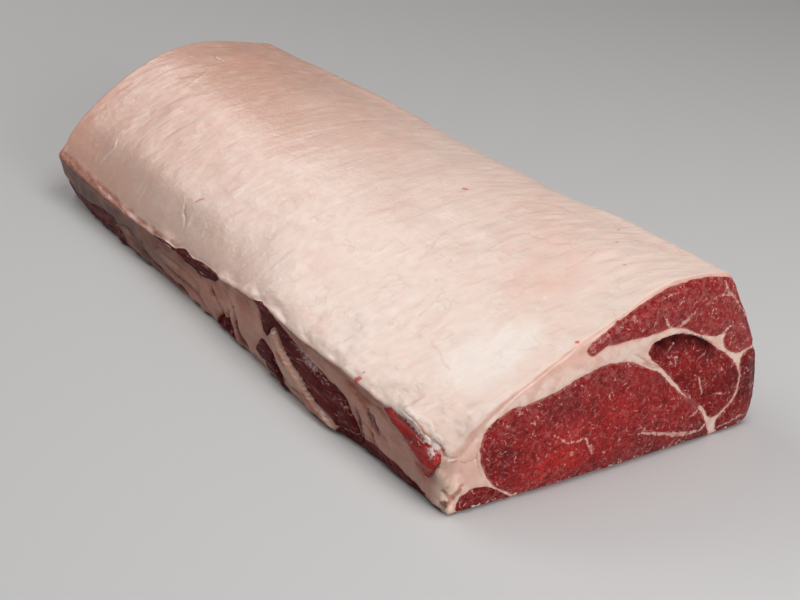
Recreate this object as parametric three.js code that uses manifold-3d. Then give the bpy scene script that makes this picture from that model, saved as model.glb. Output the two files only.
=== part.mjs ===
// A raw beef striploin: boneless, cut square at both ends, with its fat cover on top.
// Millimetres. +X runs along the grain to the near cut face, -Y is the thin tail side,
// +Y is the chine side and +Z is up. The flat underside lies at z = 0.

import * as THREE from "three";
import Module from "manifold-3d";

const wasm = await Module();
wasm.setup();

// Driving dimensions

const LENGTH = 470; // between the rims of the two cut faces
const NEAR = LENGTH / 2;
const FAR = -LENGTH / 2;
const FACE_BOW = 2; // how far the middle of a cut face's rim stands out
const FACE_DOME = 2; // how much further the middle of the face does
const FACE_RINGS = [0.95, 0.75, 0.4]; // shares of the rim's size on the way to the middle
const FACE_MIDDLE = [0, 38]; // y and z
const RIM_INSET = 0.994; // the rim's share of the full section, which rounds the edge
const RIM_ROUNDING = 3; // the length over which it does so
const GAP = 0.3; // between a muscle and the fat round it

// The top across the loin: heights at these places, for the near and the far cut face.
const ACROSS = [-70, -54, -38, -22, -6, 10, 26, 42, 57];
const TOP_NEAR = [40.5, 51, 59.5, 67.3, 73.6, 80.2, 86.2, 87.2, 86];
const TOP_FAR = [52, 64, 74, 81.4, 86.3, 88.3, 87.5, 84.8, 81.8];
const RIDGE_PLACE = 66;

// Lines along the loin, as stops of x and a value: the height of the fat's edge over the chine
// side, the height of its lip on the tail side, and how far that side stands out at its foot
// and at its lip.
const RIDGE = [
  [-235, 79.2], [-194, 79.4], [-139, 81.3], [-65, 82],
  [20, 80], [118, 81], [150, 84.2], [235, 84],
];
const LIP = [
  [-235, 29], [-190, 25], [-110, 23], [-50, 25], [0, 29],
  [57, 34], [96, 32], [142, 33.5], [180, 32], [211, 34], [235, 24],
];
const FOOT = [
  [-235, 81], [-195, 85], [-140, 86.5], [-20, 86.5], [30, 88],
  [80, 90], [131, 93], [148, 90], [167, 88], [190, 86.5], [235, 86.5],
];
const SIDE = [[-235, 89.5], [-150, 88], [0, 87.5], [100, 88.5], [200, 87.5], [235, 87]];

// The chine side, y and z downwards from just under the fat's edge, and its slow swell.
const CHINE = [
  [74.5, 70], [80, 60.5], [85.5, 48], [89, 34],
  [89.8, 20], [88.6, 9], [85.5, 2.6], [80, 0],
];
const CHINE_SWELL = 1.1;
const CHINE_WAVE = 118;

// How finely each surface is drawn
const SKIN_STEP = 18; // along the loin
const CURVE_STEPS = 2; // for each stretch between two named points
const SOLE_STEPS = 4; // across the underside
const MUSCLE_STEPS = 9; // along the loin
const STRAP_STEPS = 8;
const STRAP_SIDES = 8;

// The muscles that run through, as points y and z on the near cut face, clockwise from the
// left. Points beyond the skin are cut off by it, so that the muscle shows there.
const EYE = [
  [-68.8, 27], [-66, 38], [-60, 44.4], [-42, 46.4], [-22, 49.3], [0, 53.4], [15, 48.6], [27, 42.4],
  [39.8, 28.2], [52.4, 16], [57.6, 8], [54, -7], [-44, -7], [-51, 0.6], [-61, 9.5],
];
const CAP = [
  [-14.2, 62.6], [-12, 66.6], [0, 73.4], [18, 81.2], [36, 84.9], [52, 83.8], [64, 80], [78, 76],
  [95, 60], [95, 44.6], [85, 43.4], [76.6, 41.4], [68.4, 49], [56, 54.2], [41, 61.2], [26, 61.6],
  [8, 63.6],
];
const ROUND = [
  [23, 54.4], [29, 58.8], [42, 57.4], [56, 51], [68, 39.8], [76.6, 32],
  [77, 22], [74, 14.6], [62.4, 8.6], [52.2, 21], [38, 36.2],
];
const CHINE_STRAP = [
  [79.2, 37], [86, 40.4], [96, 41], [98, 22], [92, -7],
  [68, -7], [66, 4.4], [75.4, 10.8], [79.4, 20],
];

// The lean under the tail: its ridge runs through the loin, and its outer edge reaches the
// tail side near both ends. Stops are x, reach beyond the foot, height of that outer edge.
const TAIL_RIDGE = [[-79, 5.6], [-70.5, 9.2], [-63, 6.4]];
const TAIL_INNER = -55.4;
const TAIL_EDGE = [
  [-235, 8, 10], [-175, 8, 10.5], [-150, 6, 11], [-134, -6, 1],
  [130, -7, 0.5], [142, 5, 2.2], [215, 5, 2.4], [232, -3, 0.5],
];

// Lean that shows through the fat on the tail side. Stops are x, middle height, half height.
const FLANK_STRAPS = {
  flank_strap_near: [
    [175, 28, 0.6], [184, 26.6, 4.8], [197, 25.2, 7.2],
    [210, 22.8, 9.4], [220, 20.8, 9.6], [230, 25, 3],
  ],
  flank_strap_mid: [
    [46, 31.5, 1], [55, 26, 9.6], [64, 27, 5], [80, 20.6, 7.8],
    [105, 15.4, 8.2], [130, 11, 7], [145, 10.6, 5.8], [154, 8.4, 2],
  ],
  flank_strap_far: [
    [-91, 21, 0.6], [-76, 21.6, 2.6], [-62, 21.6, 2.9], [-45, 23.6, 4.6],
    [-28, 23.8, 4.8], [-10, 24.6, 3.8], [1, 25.4, 1],
  ],
  flank_patch_low: [[42, 3.6, 0.8], [50, 5.2, 3.2], [60, 4.4, 2.9], [74, 3.2, 0.8]],
  flank_patch_small: [[0, 6, 2], [4, 6, 4.6], [12, 5.4, 4.4], [17, 4.6, 1.5]],
};
const STRAP_DEPTH = 0.75; // depth for each millimetre of half height

const fat = new THREE.MeshStandardMaterial({ color: 0xe8cdbf, roughness: 0.5 });
const lean = new THREE.MeshStandardMaterial({ color: 0x8c2127, roughness: 0.35 });
const darkLean = new THREE.MeshStandardMaterial({ color: 0x5c181c, roughness: 0.4 });

// The value at a place on the smooth line through the stops, each a place and a value.
function lineAt(stops, place) {
  const last = stops.length - 1;
  if (place <= stops[0][0]) return stops[0][1];
  if (place >= stops[last][0]) return stops[last][1];
  const i = stops.findIndex((stop) => stop[0] > place) - 1;
  const slope = (k) => {
    const before = stops[Math.max(k - 1, 0)];
    const after = stops[Math.min(k + 1, last)];
    return (after[1] - before[1]) / (after[0] - before[0]);
  };
  const run = stops[i + 1][0] - stops[i][0];
  const t = (place - stops[i][0]) / run;
  const ease = t * t * (3 - 2 * t);
  const tangents = t * (1 - t) * ((1 - t) * slope(i) - t * slope(i + 1)) * run;
  return stops[i][1] * (1 - ease) + stops[i + 1][1] * ease + tangents;
}

// The same line through the k-th value of stops that hold several.
const trackAt = (stops, k, place) => lineAt(stops.map((stop) => [stop[0], stop[k]]), place);

// Height of the top at a place on the loin.
function topAt(x, y) {
  const share = THREE.MathUtils.clamp((x - FAR) / LENGTH, 0, 1);
  const height = (i) => THREE.MathUtils.lerp(TOP_FAR[i], TOP_NEAR[i], share);
  const stops = ACROSS.map((place, i) => [place, height(i)]);
  return lineAt([...stops, [RIDGE_PLACE, lineAt(RIDGE, x)]], y);
}

// Moves a point of the near cut face to where the same flesh lies at x.
function carried([y, z], x) {
  const place = THREE.MathUtils.clamp(y, ACROSS[0], RIDGE_PLACE);
  const rise = topAt(x, place) / topAt(NEAR, place);
  const spread = y < 0 ? lineAt(SIDE, x) / lineAt(SIDE, NEAR) : 1;
  return [y * spread, z * rise];
}

// A smooth run of points through the named ones.
function curve(points, closed) {
  const through = points.map(([y, z]) => new THREE.Vector3(0, y, z));
  const line = new THREE.CatmullRomCurve3(through, closed, "centripetal");
  const stretches = closed ? points.length : points.length - 1;
  const steps = stretches * CURVE_STEPS;
  return Array.from({ length: closed ? steps : steps + 1 }, (_, i) => {
    const point = line.getPoint(i / steps);
    return [point.y, point.z];
  });
}

// The loin's outline at x: up the tail side, over the top, down the chine side and back.
function skinAt(x) {
  const foot = lineAt(FOOT, x);
  const side = lineAt(SIDE, x);
  const lip = lineAt(LIP, x);
  const ridge = lineAt(RIDGE, x);
  const swell = CHINE_SWELL * Math.sin((2 * Math.PI * x) / CHINE_WAVE);
  const over = curve(
    [
      [-foot + 4, 0],
      [-foot, 4],
      [-(foot + side) / 2 - 0.8, lip * 0.45],
      [-side + 0.2, lip * 0.85],
      [-side + 2.8, lip + 2],
      [-side + 8.5, THREE.MathUtils.lerp(lip + 2, topAt(x, ACROSS[0]), 0.55)],
      ...ACROSS.map((y) => [y, topAt(x, y)]),
      [RIDGE_PLACE, ridge],
      [70.5, ridge - 5],
      ...CHINE.map(([y, z]) => [y + swell * (z > 0 ? 1 : 0), z]),
    ],
    false,
  );
  const [from] = over.at(-1);
  const [to] = over[0];
  for (let i = 1; i < SOLE_STEPS; i++) {
    over.push([THREE.MathUtils.lerp(from, to, i / SOLE_STEPS), 0]);
  }
  return over.map(([y, z]) => [x, y, z]);
}

// A ring of a cut face, at a share of the rim's size; the face bows out from side to side
// and is domed towards its middle.
function faceRing(end, share) {
  return skinAt(end).map(([, rimY, rimZ]) => {
    const y = THREE.MathUtils.lerp(FACE_MIDDLE[0], rimY, share * RIM_INSET);
    const z = THREE.MathUtils.lerp(FACE_MIDDLE[1], rimZ, share * RIM_INSET);
    const out = FACE_BOW * (1 - (y / SIDE[0][1]) ** 2) + FACE_DOME * (1 - share ** 4);
    return [end + Math.sign(end) * out, y, z];
  });
}

// A closed solid through rings of equal length, given from low x to high x, each clockwise
// as seen from the near end.
function loft(rings) {
  const size = rings[0].length;
  const faces = [];
  for (let i = 0; i + 1 < rings.length; i++) {
    for (let j = 0; j < size; j++) {
      const a = i * size + j;
      const b = i * size + ((j + 1) % size);
      faces.push([a, a + size, b + size], [a, b + size, b]);
    }
  }
  const flat = (ring) => ring.map(([, y, z]) => new THREE.Vector2(y, z));
  const lid = (ring) => THREE.ShapeUtils.triangulateShape(flat(ring), []);
  const start = (rings.length - 1) * size;
  for (const face of lid(rings.at(-1))) faces.push(face.map((k) => k + start));
  for (const face of lid(rings[0])) faces.push([...face].reverse());
  return new wasm.Manifold(
    new wasm.Mesh({
      numProp: 3,
      vertProperties: new Float32Array(rings.flat(2)),
      triVerts: new Uint32Array(faces.flat()),
    }),
  );
}

// The whole loin, with rounded rims and cut faces that bulge a little.
function wholeLoin() {
  const steps = Math.round(LENGTH / SKIN_STEP);
  const stations = Array.from({ length: steps + 1 }, (_, i) => FAR + (LENGTH * i) / steps);
  const body = stations.slice(1, -1);
  const rings = [FAR + RIM_ROUNDING, ...body, NEAR - RIM_ROUNDING].map(skinAt);
  for (const [end, add] of [[FAR, "unshift"], [NEAR, "push"]]) {
    for (const share of [1, ...FACE_RINGS]) rings[add](faceRing(end, share));
  }
  return loft(rings);
}

// Moves each point of a clockwise outline outwards by a distance.
function widened(outline, distance) {
  return outline.map(([y, z], i) => {
    const [y0, z0] = outline.at(i - 1);
    const [y1, z1] = outline[(i + 1) % outline.length];
    const long = Math.hypot(y1 - y0, z1 - z0);
    return [y - ((z1 - z0) / long) * distance, z + ((y1 - y0) / long) * distance];
  });
}

// A muscle that runs through the loin; outlineAt gives its named points at x.
function muscle(outlineAt, clearance) {
  const reach = NEAR + 2 * (FACE_BOW + FACE_DOME);
  const rings = Array.from({ length: MUSCLE_STEPS + 1 }, (_, i) => {
    const x = reach * ((2 * i) / MUSCLE_STEPS - 1);
    return widened(curve(outlineAt(x), true), clearance).map(([y, z]) => [x, y, z]);
  });
  return loft(rings);
}

// The lean under the tail at x, reaching through the skin where its edge shows.
function tailOutline(x) {
  const outer = -lineAt(FOOT, x) - trackAt(TAIL_EDGE, 1, x);
  const edge = trackAt(TAIL_EDGE, 2, x);
  const ridge = TAIL_RIDGE.map(([y, z]) => [y, Math.max(z, edge * 0.9)]);
  return [[outer, -6], [outer, edge], ...ridge, [TAIL_INNER, 0], [TAIL_INNER + 1, -6]];
}

// A strap of lean sunk in the tail side, thickest along its middle.
function strap(stops, clearance) {
  const [start] = stops[0];
  const [end] = stops.at(-1);
  const rings = Array.from({ length: STRAP_STEPS + 1 }, (_, i) => {
    const grown = clearance * ((2 * i) / STRAP_STEPS - 1);
    const x = THREE.MathUtils.lerp(start, end, i / STRAP_STEPS);
    const half = trackAt(stops, 2, x);
    const middle = trackAt(stops, 1, x);
    const skin = -THREE.MathUtils.lerp(lineAt(FOOT, x), lineAt(SIDE, x), middle / lineAt(LIP, x));
    return Array.from({ length: STRAP_SIDES }, (_, k) => {
      const turn = (2 * Math.PI * k) / STRAP_SIDES;
      const depth = half * STRAP_DEPTH + clearance;
      const y = skin - (depth + 1) * Math.cos(turn);
      return [x + grown, y, middle + (half + clearance) * Math.sin(turn)];
    });
  });
  return loft(rings);
}

// A named mesh of a solid.
function piece(name, solid, material) {
  const mesh = solid.getMesh();
  const geometry = new THREE.BufferGeometry();
  geometry.setAttribute("position", new THREE.BufferAttribute(mesh.vertProperties, 3));
  geometry.setIndex(new THREE.BufferAttribute(mesh.triVerts, 1));
  geometry.computeVertexNormals();
  const made = new THREE.Mesh(geometry, material);
  made.name = name;
  return made;
}

const through = (outline) => (clearance) =>
  muscle((x) => outline.map((point) => carried(point, x)), clearance);

const makers = {
  eye_muscle: [through(EYE), lean],
  cap_muscle: [through(CAP), lean],
  round_muscle: [through(ROUND), darkLean],
  chine_strap: [through(CHINE_STRAP), lean],
  tail_lean: [(clearance) => muscle(tailOutline, clearance), darkLean],
};
for (const [name, stops] of Object.entries(FLANK_STRAPS)) {
  makers[name] = [(clearance) => strap(stops, clearance), darkLean];
}

// The muscles are trimmed to the loin, and the fat is what is left round them.
const loin = new THREE.Group();
const whole = wholeLoin();
let cover = whole;
for (const [name, [make, material]] of Object.entries(makers)) {
  loin.add(piece(name, whole.intersect(make(0)), material));
  cover = cover.subtract(make(GAP));
}
loin.add(piece("fat_cover", cover, fat));

// The origin goes to the middle of the underside.
const extent = new THREE.Box3().setFromObject(loin);
const middle = extent.getCenter(new THREE.Vector3());
loin.position.set(-middle.x, -middle.y, -extent.min.z);

export default loin;
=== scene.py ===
"""The looks of a raw beef striploin, built round its CAD solids.

The whole loin is one fine skin with its relief. The muscles are cut out of it by prisms that
run along the grain, so each piece keeps the form of its solid and the pieces meet without a
gap. Shapes are worked out in millimetres, in the frame of the section drawings: +X along the
grain to the near cut face, -Y the tail side, +Y the chine side, +Z up.
"""

import math

import bmesh
import bpy
import numpy as np
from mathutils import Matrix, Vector
from mathutils.geometry import delaunay_2d_cdt


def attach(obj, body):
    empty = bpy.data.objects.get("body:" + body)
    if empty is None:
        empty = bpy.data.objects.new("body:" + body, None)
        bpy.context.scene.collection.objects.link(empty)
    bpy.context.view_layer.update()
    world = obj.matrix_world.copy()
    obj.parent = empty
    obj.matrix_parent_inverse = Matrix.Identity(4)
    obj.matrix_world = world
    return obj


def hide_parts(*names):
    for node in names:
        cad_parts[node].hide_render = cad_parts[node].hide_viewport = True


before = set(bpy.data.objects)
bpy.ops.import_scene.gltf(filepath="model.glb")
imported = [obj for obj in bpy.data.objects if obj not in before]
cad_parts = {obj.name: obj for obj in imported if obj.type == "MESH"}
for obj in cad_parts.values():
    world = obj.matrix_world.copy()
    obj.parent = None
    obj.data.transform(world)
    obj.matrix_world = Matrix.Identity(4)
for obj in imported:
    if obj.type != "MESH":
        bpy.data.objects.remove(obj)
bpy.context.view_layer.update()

# Driving dimensions, in millimetres

LENGTH = 470.0
NEAR = LENGTH / 2
FAR = -LENGTH / 2
FACE_BOW = 2.0  # how far a cut face's rim stands out at the middle of its width
FACE_DOME = 2.0  # how much further the middle of the face does
FACE_MIDDLE = np.array([0.0, 38.0])
MIDDLE_Y = 0.93  # from the drawings' y to the middle of the box
# The heights of the top at these y, at the near face and at the far one
ACROSS = [-70, -54, -38, -22, -6, 10, 26, 42, 57]
TOP_NEAR = np.array([40.5, 51, 59.5, 67.3, 73.6, 80.2, 86.2, 87.2, 86])
TOP_FAR = np.array([52, 64, 74, 81.4, 86.3, 88.3, 87.5, 84.8, 81.8])
RIDGE_PLACE = 66
# Along x, the heights of the ridge and the lip of fat, and how far out the foot and the side are
RIDGE = [
    (-235, 79.2), (-194, 79.4), (-139, 81.3), (-65, 82), (20, 80), (118, 81), (150, 84.2), (235, 84),
]
LIP = [
    (-235, 29), (-190, 25), (-110, 23), (-50, 25), (0, 29), (57, 34), (96, 32), (142, 33.5),
    (180, 32), (211, 34), (235, 24),
]
FOOT = [
    (-235, 81), (-195, 85), (-140, 86.5), (-20, 86.5), (30, 88.4), (80, 91), (131, 93), (148, 90),
    (167, 88), (190, 87.6), (235, 87.4),
]
SIDE = [(-235, 89.5), (-150, 88), (0, 87.5), (100, 88.5), (200, 87.5), (235, 87)]
# The chine side, y and z, and the swell and the length of its waves along x
CHINE = [(74.5, 70), (80, 60.5), (85.5, 48), (89, 34), (89.8, 20), (88.6, 9), (85.5, 2.6), (80, 0)]
CHINE_SWELL = 1.1
CHINE_WAVE = 118

# The muscles on the near cut face, y and z, clockwise. Points beyond the skin are cut off.
EYE = [
    (-70.4, 27), (-69, 34.6), (-65.4, 39.8), (-60, 43.2), (-53, 45.4), (-40, 46.8), (-26, 50.6),
    (-16, 53.6), (-4, 55.2), (8.2, 53.6), (17.5, 49), (25.2, 44.6), (29.5, 40.7), (33.8, 35.4),
    (41.2, 28.4), (48, 21.2), (54, 15.6), (57, 10.6), (59.2, 5.6), (62, -7), (-46, -7), (-49.6, -0.2),
    (-55.2, 3.6), (-62.8, 9.2), (-68, 16.4),
]
CAP = [
    (-15.4, 64.3), (-13.4, 67.2), (-8.6, 69.6), (-3, 72.8), (6.7, 77.2), (18, 81.9), (30, 85.4),
    (42, 85.9), (54, 85), (62, 83.2), (69, 80.6), (80, 74), (96, 58), (97, 43.4), (88, 42.6),
    (81.6, 41.4), (75, 41), (69.6, 43.4), (66, 47), (65.4, 50.6), (66.2, 53.4), (60, 54),
    (53.6, 55.9), (44.4, 60.2), (37.6, 63.6), (31, 65.2), (20, 64.2), (8, 64.6), (-4.6, 64),
    (-9, 62.4), (-13.6, 61.8),
]
ROUND = [
    (19.4, 56), (22, 59.3), (26.6, 60.7), (33, 60.8), (40, 59.4), (47, 56.9), (54.4, 52.4), (62, 47),
    (69.9, 40.4), (74.7, 34.6), (76.9, 29), (77.2, 23), (75.1, 17.9), (68.9, 13), (63.7, 10.7),
    (60.2, 10.5), (58, 12.6), (55.4, 17), (49, 22.4), (41.8, 29), (33.8, 38.6), (28.6, 44.4),
    (24.2, 49), (21, 52.4),
]
CHINE_STRAP = [
    (78.4, 38.4), (82.6, 40.2), (90, 41.2), (98, 40), (98, 20), (93, -7), (66, -7), (64.6, 4),
    (65.2, 9), (69.2, 11.7), (75.4, 16.1), (78, 20.4), (77.9, 26), (77.2, 33),
]
# The lean under the tail: the top of its section, y and z, and where that ends. Its edge along x
# is given by how far past the foot it reaches, or below zero stays inside, and by its height.
TAIL_RIDGE = [(-80.4, 7.4), (-75.6, 10.6), (-70, 10.9), (-64.6, 9), (-58.4, 4.4)]
TAIL_INNER = -53.6
TAIL_EDGE = [
    (-235, 7, 9), (-188, 7, 10), (-172, 8, 12.6), (-157, 8, 14.2), (-142, 8, 14.4), (-135, 5, 12),
    (-129, -6, 1), (130, -7, 0.5), (145, 3, 2.8), (160, 5, 5.2), (172, 5, 7.4), (184, 5, 7.4),
    (196, 5, 5.2), (206, 5, 3.2), (219, 4, 3), (228, 0, 1.5), (235, -6, 0.5),
]

# Bands of lean in the tail side: x, middle height, half height.
FLANK_STRAPS = {
    "flank_strap_near": [
        (175, 28, 0.3), (180.4, 28.4, 1.7), (185.7, 28.9, 3.1), (193, 28.2, 3.9), (200.2, 26.9, 5.0),
        (207.2, 25.2, 6.0), (213.6, 22.9, 7.5), (219.6, 20.9, 7.9), (224, 22.6, 5.8),
        (227, 23.6, 2.4), (228.4, 23.8, 0.4),
    ],
    "flank_strap_mid": [
        (46, 32.6, 0.5), (50, 31.6, 2.6), (53.8, 30.2, 4.6), (58, 28.5, 6), (62, 26.8, 7.2),
        (64.5, 26.4, 6.8), (67, 28.5, 3.9), (72, 27.5, 3.1), (83, 24.4, 4.6), (93, 22.2, 5.4),
        (104.5, 19.4, 6.5), (115.6, 17.4, 7.7), (123, 16, 8), (130, 15, 8), (139, 13.7, 7.9),
        (147, 11.4, 8.2), (153, 9.2, 7), (158, 8, 5), (162, 6.6, 0.6),
    ],
    "flank_strap_far": [
        (-90, 22, 0.3), (-84, 21.6, 1.9), (-78, 22, 2.3), (-72, 22.2, 2.7), (-66, 22.9, 2.2),
        (-60, 24, 1.4), (-55, 25, 1.5), (-50, 24.5, 3.8), (-46, 24.4, 4.5), (-38, 23.9, 3.9),
        (-31, 23.7, 4.1), (-23.5, 23.9, 4.6), (-14, 25, 4), (-6, 25.8, 3.3), (-1, 27.2, 1.8),
        (2.4, 28, 0.4),
    ],
    "flank_patch_low": [
        (52, 8, 0.8), (55, 9.6, 3), (58, 10.6, 4.6), (62.5, 10.8, 5.2), (67, 9.8, 5.4), (72, 8, 5.6),
        (78, 5.4, 5), (86, 2.6, 3.2), (92, 1.4, 0.9),
    ],
    "flank_patch_small": [
        (0.6, 2.4, 0.8), (4, 3.8, 2.8), (8, 4.8, 4.6), (12, 5.4, 5.2), (17, 5.2, 4.8), (22, 3.6, 3.4),
        (26, 2, 0.8),
    ],
}
STRAP_DEPTH = 0.75  # how deep a band goes, in half heights

# Fat that runs through the lean on the cut faces: y, z and half width.
VEINS = [
    [(14.5, 15.4, 0.1), (17, 15.4, 0.5), (23.5, 13.4, 0.7), (30.7, 11.0, 0.8), (37.9, 8.4, 1.1),
     (47, 6.3, 1.1), (53.4, 6.3, 0.7), (57.8, 8.2, 0.9)],
    [(33, 62.5, 1.7), (37.5, 65.4, 1.1), (41.5, 68, 1.2), (44, 69.8, 0.8), (45.8, 71.8, 0.1)],
    [(32, 63.5, 1.5), (29.5, 67, 0.8), (27.6, 70, 0.5), (26.2, 72.6, 0.1)],
    [(63.8, 51.5, 1.4), (64.8, 54.8, 0.9), (66.9, 56.8, 0.7), (69.8, 57.3, 0.1)],
    [(55.3, 73.2, 0.2), (57.3, 75.1, 0.35), (61.6, 75, 0.25), (66, 73.6, 0.4)],
    [(58.6, 67.9, 0.1), (56.3, 69, 0.3), (55.7, 67, 0.1)],
    [(34, 75, 0.1), (35.3, 77.4, 0.5), (37.8, 78.2, 0.1)],
    [(51, 72.4, 0.1), (53.2, 72.6, 0.35), (55.6, 72.5, 0.1)],
    [(63.8, 80.3, 0.3), (64.4, 77.2, 0.9), (66.2, 74.2, 0.9), (69.2, 72, 0.5), (74, 66, 0.35),
     (80, 58, 0.3), (84.6, 50, 0.1)],
    [(49.6, 36.4, 0.1), (49.9, 35, 0.6), (51.1, 31.7, 0.4), (52.4, 27, 0.3), (52.6, 25.4, 0.1)],
    [(43.6, 30.4, 0.1), (45, 27, 0.5), (47.9, 22.8, 0.2)],
    [(61.2, 23.8, 0.1), (63.6, 23.4, 0.5), (66.2, 21.8, 0.1)],
    [(32, 50.9, 0.1), (34.4, 50.1, 0.5), (36.4, 49.7, 0.1)],
    [(34.8, 49.8, 0.3), (34.7, 46.6, 0.1)],
    [(27.4, 53.8, 0.1), (30, 55.7, 0.3), (33, 57.4, 0.1)],
    [(54.8, 18.4, 0.4), (51.1, 17.1, 0.35), (45.8, 15.7, 0.1)],
    [(66, 3, 0.3), (69, 4, 0.45), (73.8, 4.6, 0.4), (78.7, 6.5, 0.5), (84, 5.7, 0.2)],
    [(-33.4, 28, 0.1), (-30, 25.6, 0.2), (-26.8, 23, 0.4), (-20.5, 21.4, 0.4), (-16.4, 22, 0.55),
     (-14.6, 18.6, 0.5), (-11.6, 14.6, 0.8), (-11, 12.4, 0.1)],
    [(25.4, 80.3, 0.1), (29.8, 81.7, 0.3), (34.4, 82.2, 0.1)],
    [(77.4, 30.6, 0.3), (77.6, 25.6, 0.8), (76.8, 20.6, 0.3)],
]

# Softer patches on the lean of the near cut face: y, z, reach and how much brighter.
GLOWS = [
    (-26, 19, 15, 0.9), (-44, 8, 13, 0.5), (2, 32, 14, 0.7), (30, 24, 12, 0.3), (42, 48, 8, 0.3),
    (-58, 22, 9, -0.35), (-30, 42, 10, -0.45), (-2, 48, 11, -0.4), (20, 8, 12, -0.35),
    (52, 4, 9, -0.5), (84, 25, 11, -0.8), (66, 30, 10, -0.25), (60, 66, 9, 0.25), (80, 62, 7, -0.2),
]
# Greyish pink fringes on the lean there: y, z, reach and strength.
HAZES = [
    (-58, 39, 6, 0.8), (-42, 43, 7, 0.8), (-26, 47, 7, 0.7), (-10, 51, 7, 0.8), (6, 51, 7, 0.8),
    (22, 42, 7, 0.4), (-24, 30, 9, 0.35), (14, 12, 10, 0.5), (34, 54, 7, 0.3), (60, 40, 8, 0.2),
    (-50, 0, 9, 0.3),
]
# Patches on top of the fat, pink ones and, below zero, pale ones that are painted highlight where the wet
# top catches the light: x, y, two reaches and strength.
BLUSHES = [
    (183, -2, 26, 20, 0.55), (150, 30, 40, 22, 0.4), (100, 45, 40, 18, 0.3), (-225, -60, 9, 32, 1.0),
    (-205, -80, 24, 8, 0.7), (-180, 20, 16, 24, 0.6), (60, -60, 34, 12, 0.35), (20, 20, 50, 20, 0.2),
    (95, -80, 30, 5, 0.45), (-190, 52, 40, 12, 0.35), (120, -30, 20, 30, 0.15),
    (206, -56, 15, 11, -0.9), (209, -34, 13, 16, -1.0), (190, -46, 18, 16, -0.5),
    (198, -77, 14, 6, 0.45),
]
# Marks on the tail side: x, z and half width. Lean shows through in the slits, and their near black
# middle is painted shade in the deep slots.
SLITS = [
    [(8.8, 12.8, 0.2), (8.2, 9, 1.5), (7.6, 6, 2.6)],
    [(15.1, 14.8, 0.2), (16, 9.6, 1.6), (17, 5, 2.4)],
    [(22.6, 19.4, 0.2), (25.9, 12.4, 1.7), (30, 8.2, 2.1), (36.5, 4.5, 1.6), (42, 2.4, 0.3)],
    [(-104, 14, 0.1), (-101, 8, 1.3), (-92, 5.2, 1.6), (-78, 4, 1.6), (-66, 3, 1.4), (-50, 3, 1.2),
     (-38, 1, 0.8)],
    [(-9, 19.6, 0.1), (-6, 17.4, 1.1), (1, 16, 0.1)],
    [(165, 23, 0.2), (167.6, 20.4, 1.3), (170, 17.6, 0.8), (171.6, 15.6, 0.2)],
    [(169.6, 21.6, 0.1), (171.6, 19.8, 1.6), (174, 18, 1.2), (176, 16.6, 1.3), (178.6, 14.6, 0.2)],
    [(156, 19, 0.2), (160, 13.6, 1.4), (163, 9, 1.2), (165, 5, 0.4)],
    [(169, 14, 0.1), (172, 11.6, 0.7), (174.6, 9, 0.3)],
    [(232.6, 6.6, 0.3), (234.8, 4.8, 0.3)],
]
# Rolls and lumps of fat there: x, z and half width.
ROLLS = [
    [(66.8, 24.4, 0.3), (70, 21, 2.4), (75, 17.6, 3.6), (81, 14.8, 4.1), (88, 11.9, 4.6),
     (96, 10.2, 4.2), (104, 9.2, 3), (113, 7.4, 1.7), (125, 5, 1.6), (140, 2.8, 1.4)],
    [(-133, 11.4, 1), (-122, 9.4, 2.8), (-110, 6, 3.4), (-98, 1.4, 2.8)],
    [(-82, 14, 1), (-60, 13.4, 1.8), (-40, 13, 2), (-26, 11.4, 1.4)],
]
# The torn white skin on the bands of lean: x, z, reach along x, reach up and strength.
FILMS = [
    (188, 32.4, 4, 0.9, 0.75), (195, 32.6, 5, 1.5, 0.95), (203, 32.2, 5, 1.9, 0.95),
    (210, 31.4, 4, 2.2, 0.95), (216, 29.6, 3.4, 2.3, 0.95), (221, 27.6, 2.0, 3.0, 1.0),
    (223.4, 25.4, 1.1, 2.6, 0.8), (207.5, 24.5, 1.4, 1.4, 0.6), (211, 26.5, 3, 1.6, 0.35),
    (198, 28, 5, 1.5, 0.25), (214, 20, 3, 3, 0.3), (97, 25.4, 6, 1.2, 0.7), (107, 24.2, 8, 1.7, 0.85),
    (117, 22.8, 8, 2, 0.8), (128, 20.6, 6, 1.8, 0.6), (141, 17.6, 8, 2, 0.6), (148.6, 16, 4, 2, 0.6),
    (55, 32, 3, 2, 0.6), (84, 26.4, 8, 1.2, 0.55), (64, 24, 2, 4, 0.35), (152, 6, 2.0, 3, 0.5),
    (166, 9, 1.6, 5, 0.6), (-30, 26, 8, 0.8, 0.4),
]
# The loose flap over the near band: the crease under it and its edge, x, z and half width.
FLAP_CREASE = [
    (195, 34.9, 0.02), (200, 35.2, 0.1), (205, 35.4, 0.15), (210.7, 33.9, 0.2), (215.2, 31.8, 0.2),
    (219.6, 30, 0.15), (222.8, 29.2, 0.05),
]
FLAP = [(198, 36.4, 0.1), (205, 36.8, 0.5), (211.8, 35.6, 0.6), (217, 33.2, 0.5), (222.6, 31, 0.1)]
# Marks drawn on the fat. On top: x, y and half width. On the tail side: x, z and half width.
CRACKS = [
    [(-71.5, -71.5, 0.1), (-66, -75.4, 0.25), (-59.4, -77.6, 0.3), (-58.6, -80, 0.1)],
    [(-205, 11, 0.1), (-196, 8, 0.25), (-186.6, 8.6, 0.1)],
]
PALE_RIDGES = [
    [(-73.4, -71.4, 0.1), (-67.8, -76.2, 0.3), (-60.8, -79.2, 0.4), (-60, -81.8, 0.1)],
    [(-57.6, -74.6, 0.1), (-55, -78, 0.3), (-54, -80, 0.1)],
    [(-40.4, -74.2, 0.1), (-38, -76, 0.45), (-36, -77.8, 0.2)],
    [(-182, -66, 0.1), (-175, -73.6, 0.4), (-182, -81, 0.2)],
    [(194, -8.6, 0.6), (195.6, -8, 0.3)],
    [(199, -15.6, 0.6), (200.4, -15, 0.3)],
    [(-183, -2, 0.1), (-179.8, -7, 0.4), (-175, -18, 0.4), (-171, -30, 0.1)],
]
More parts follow.
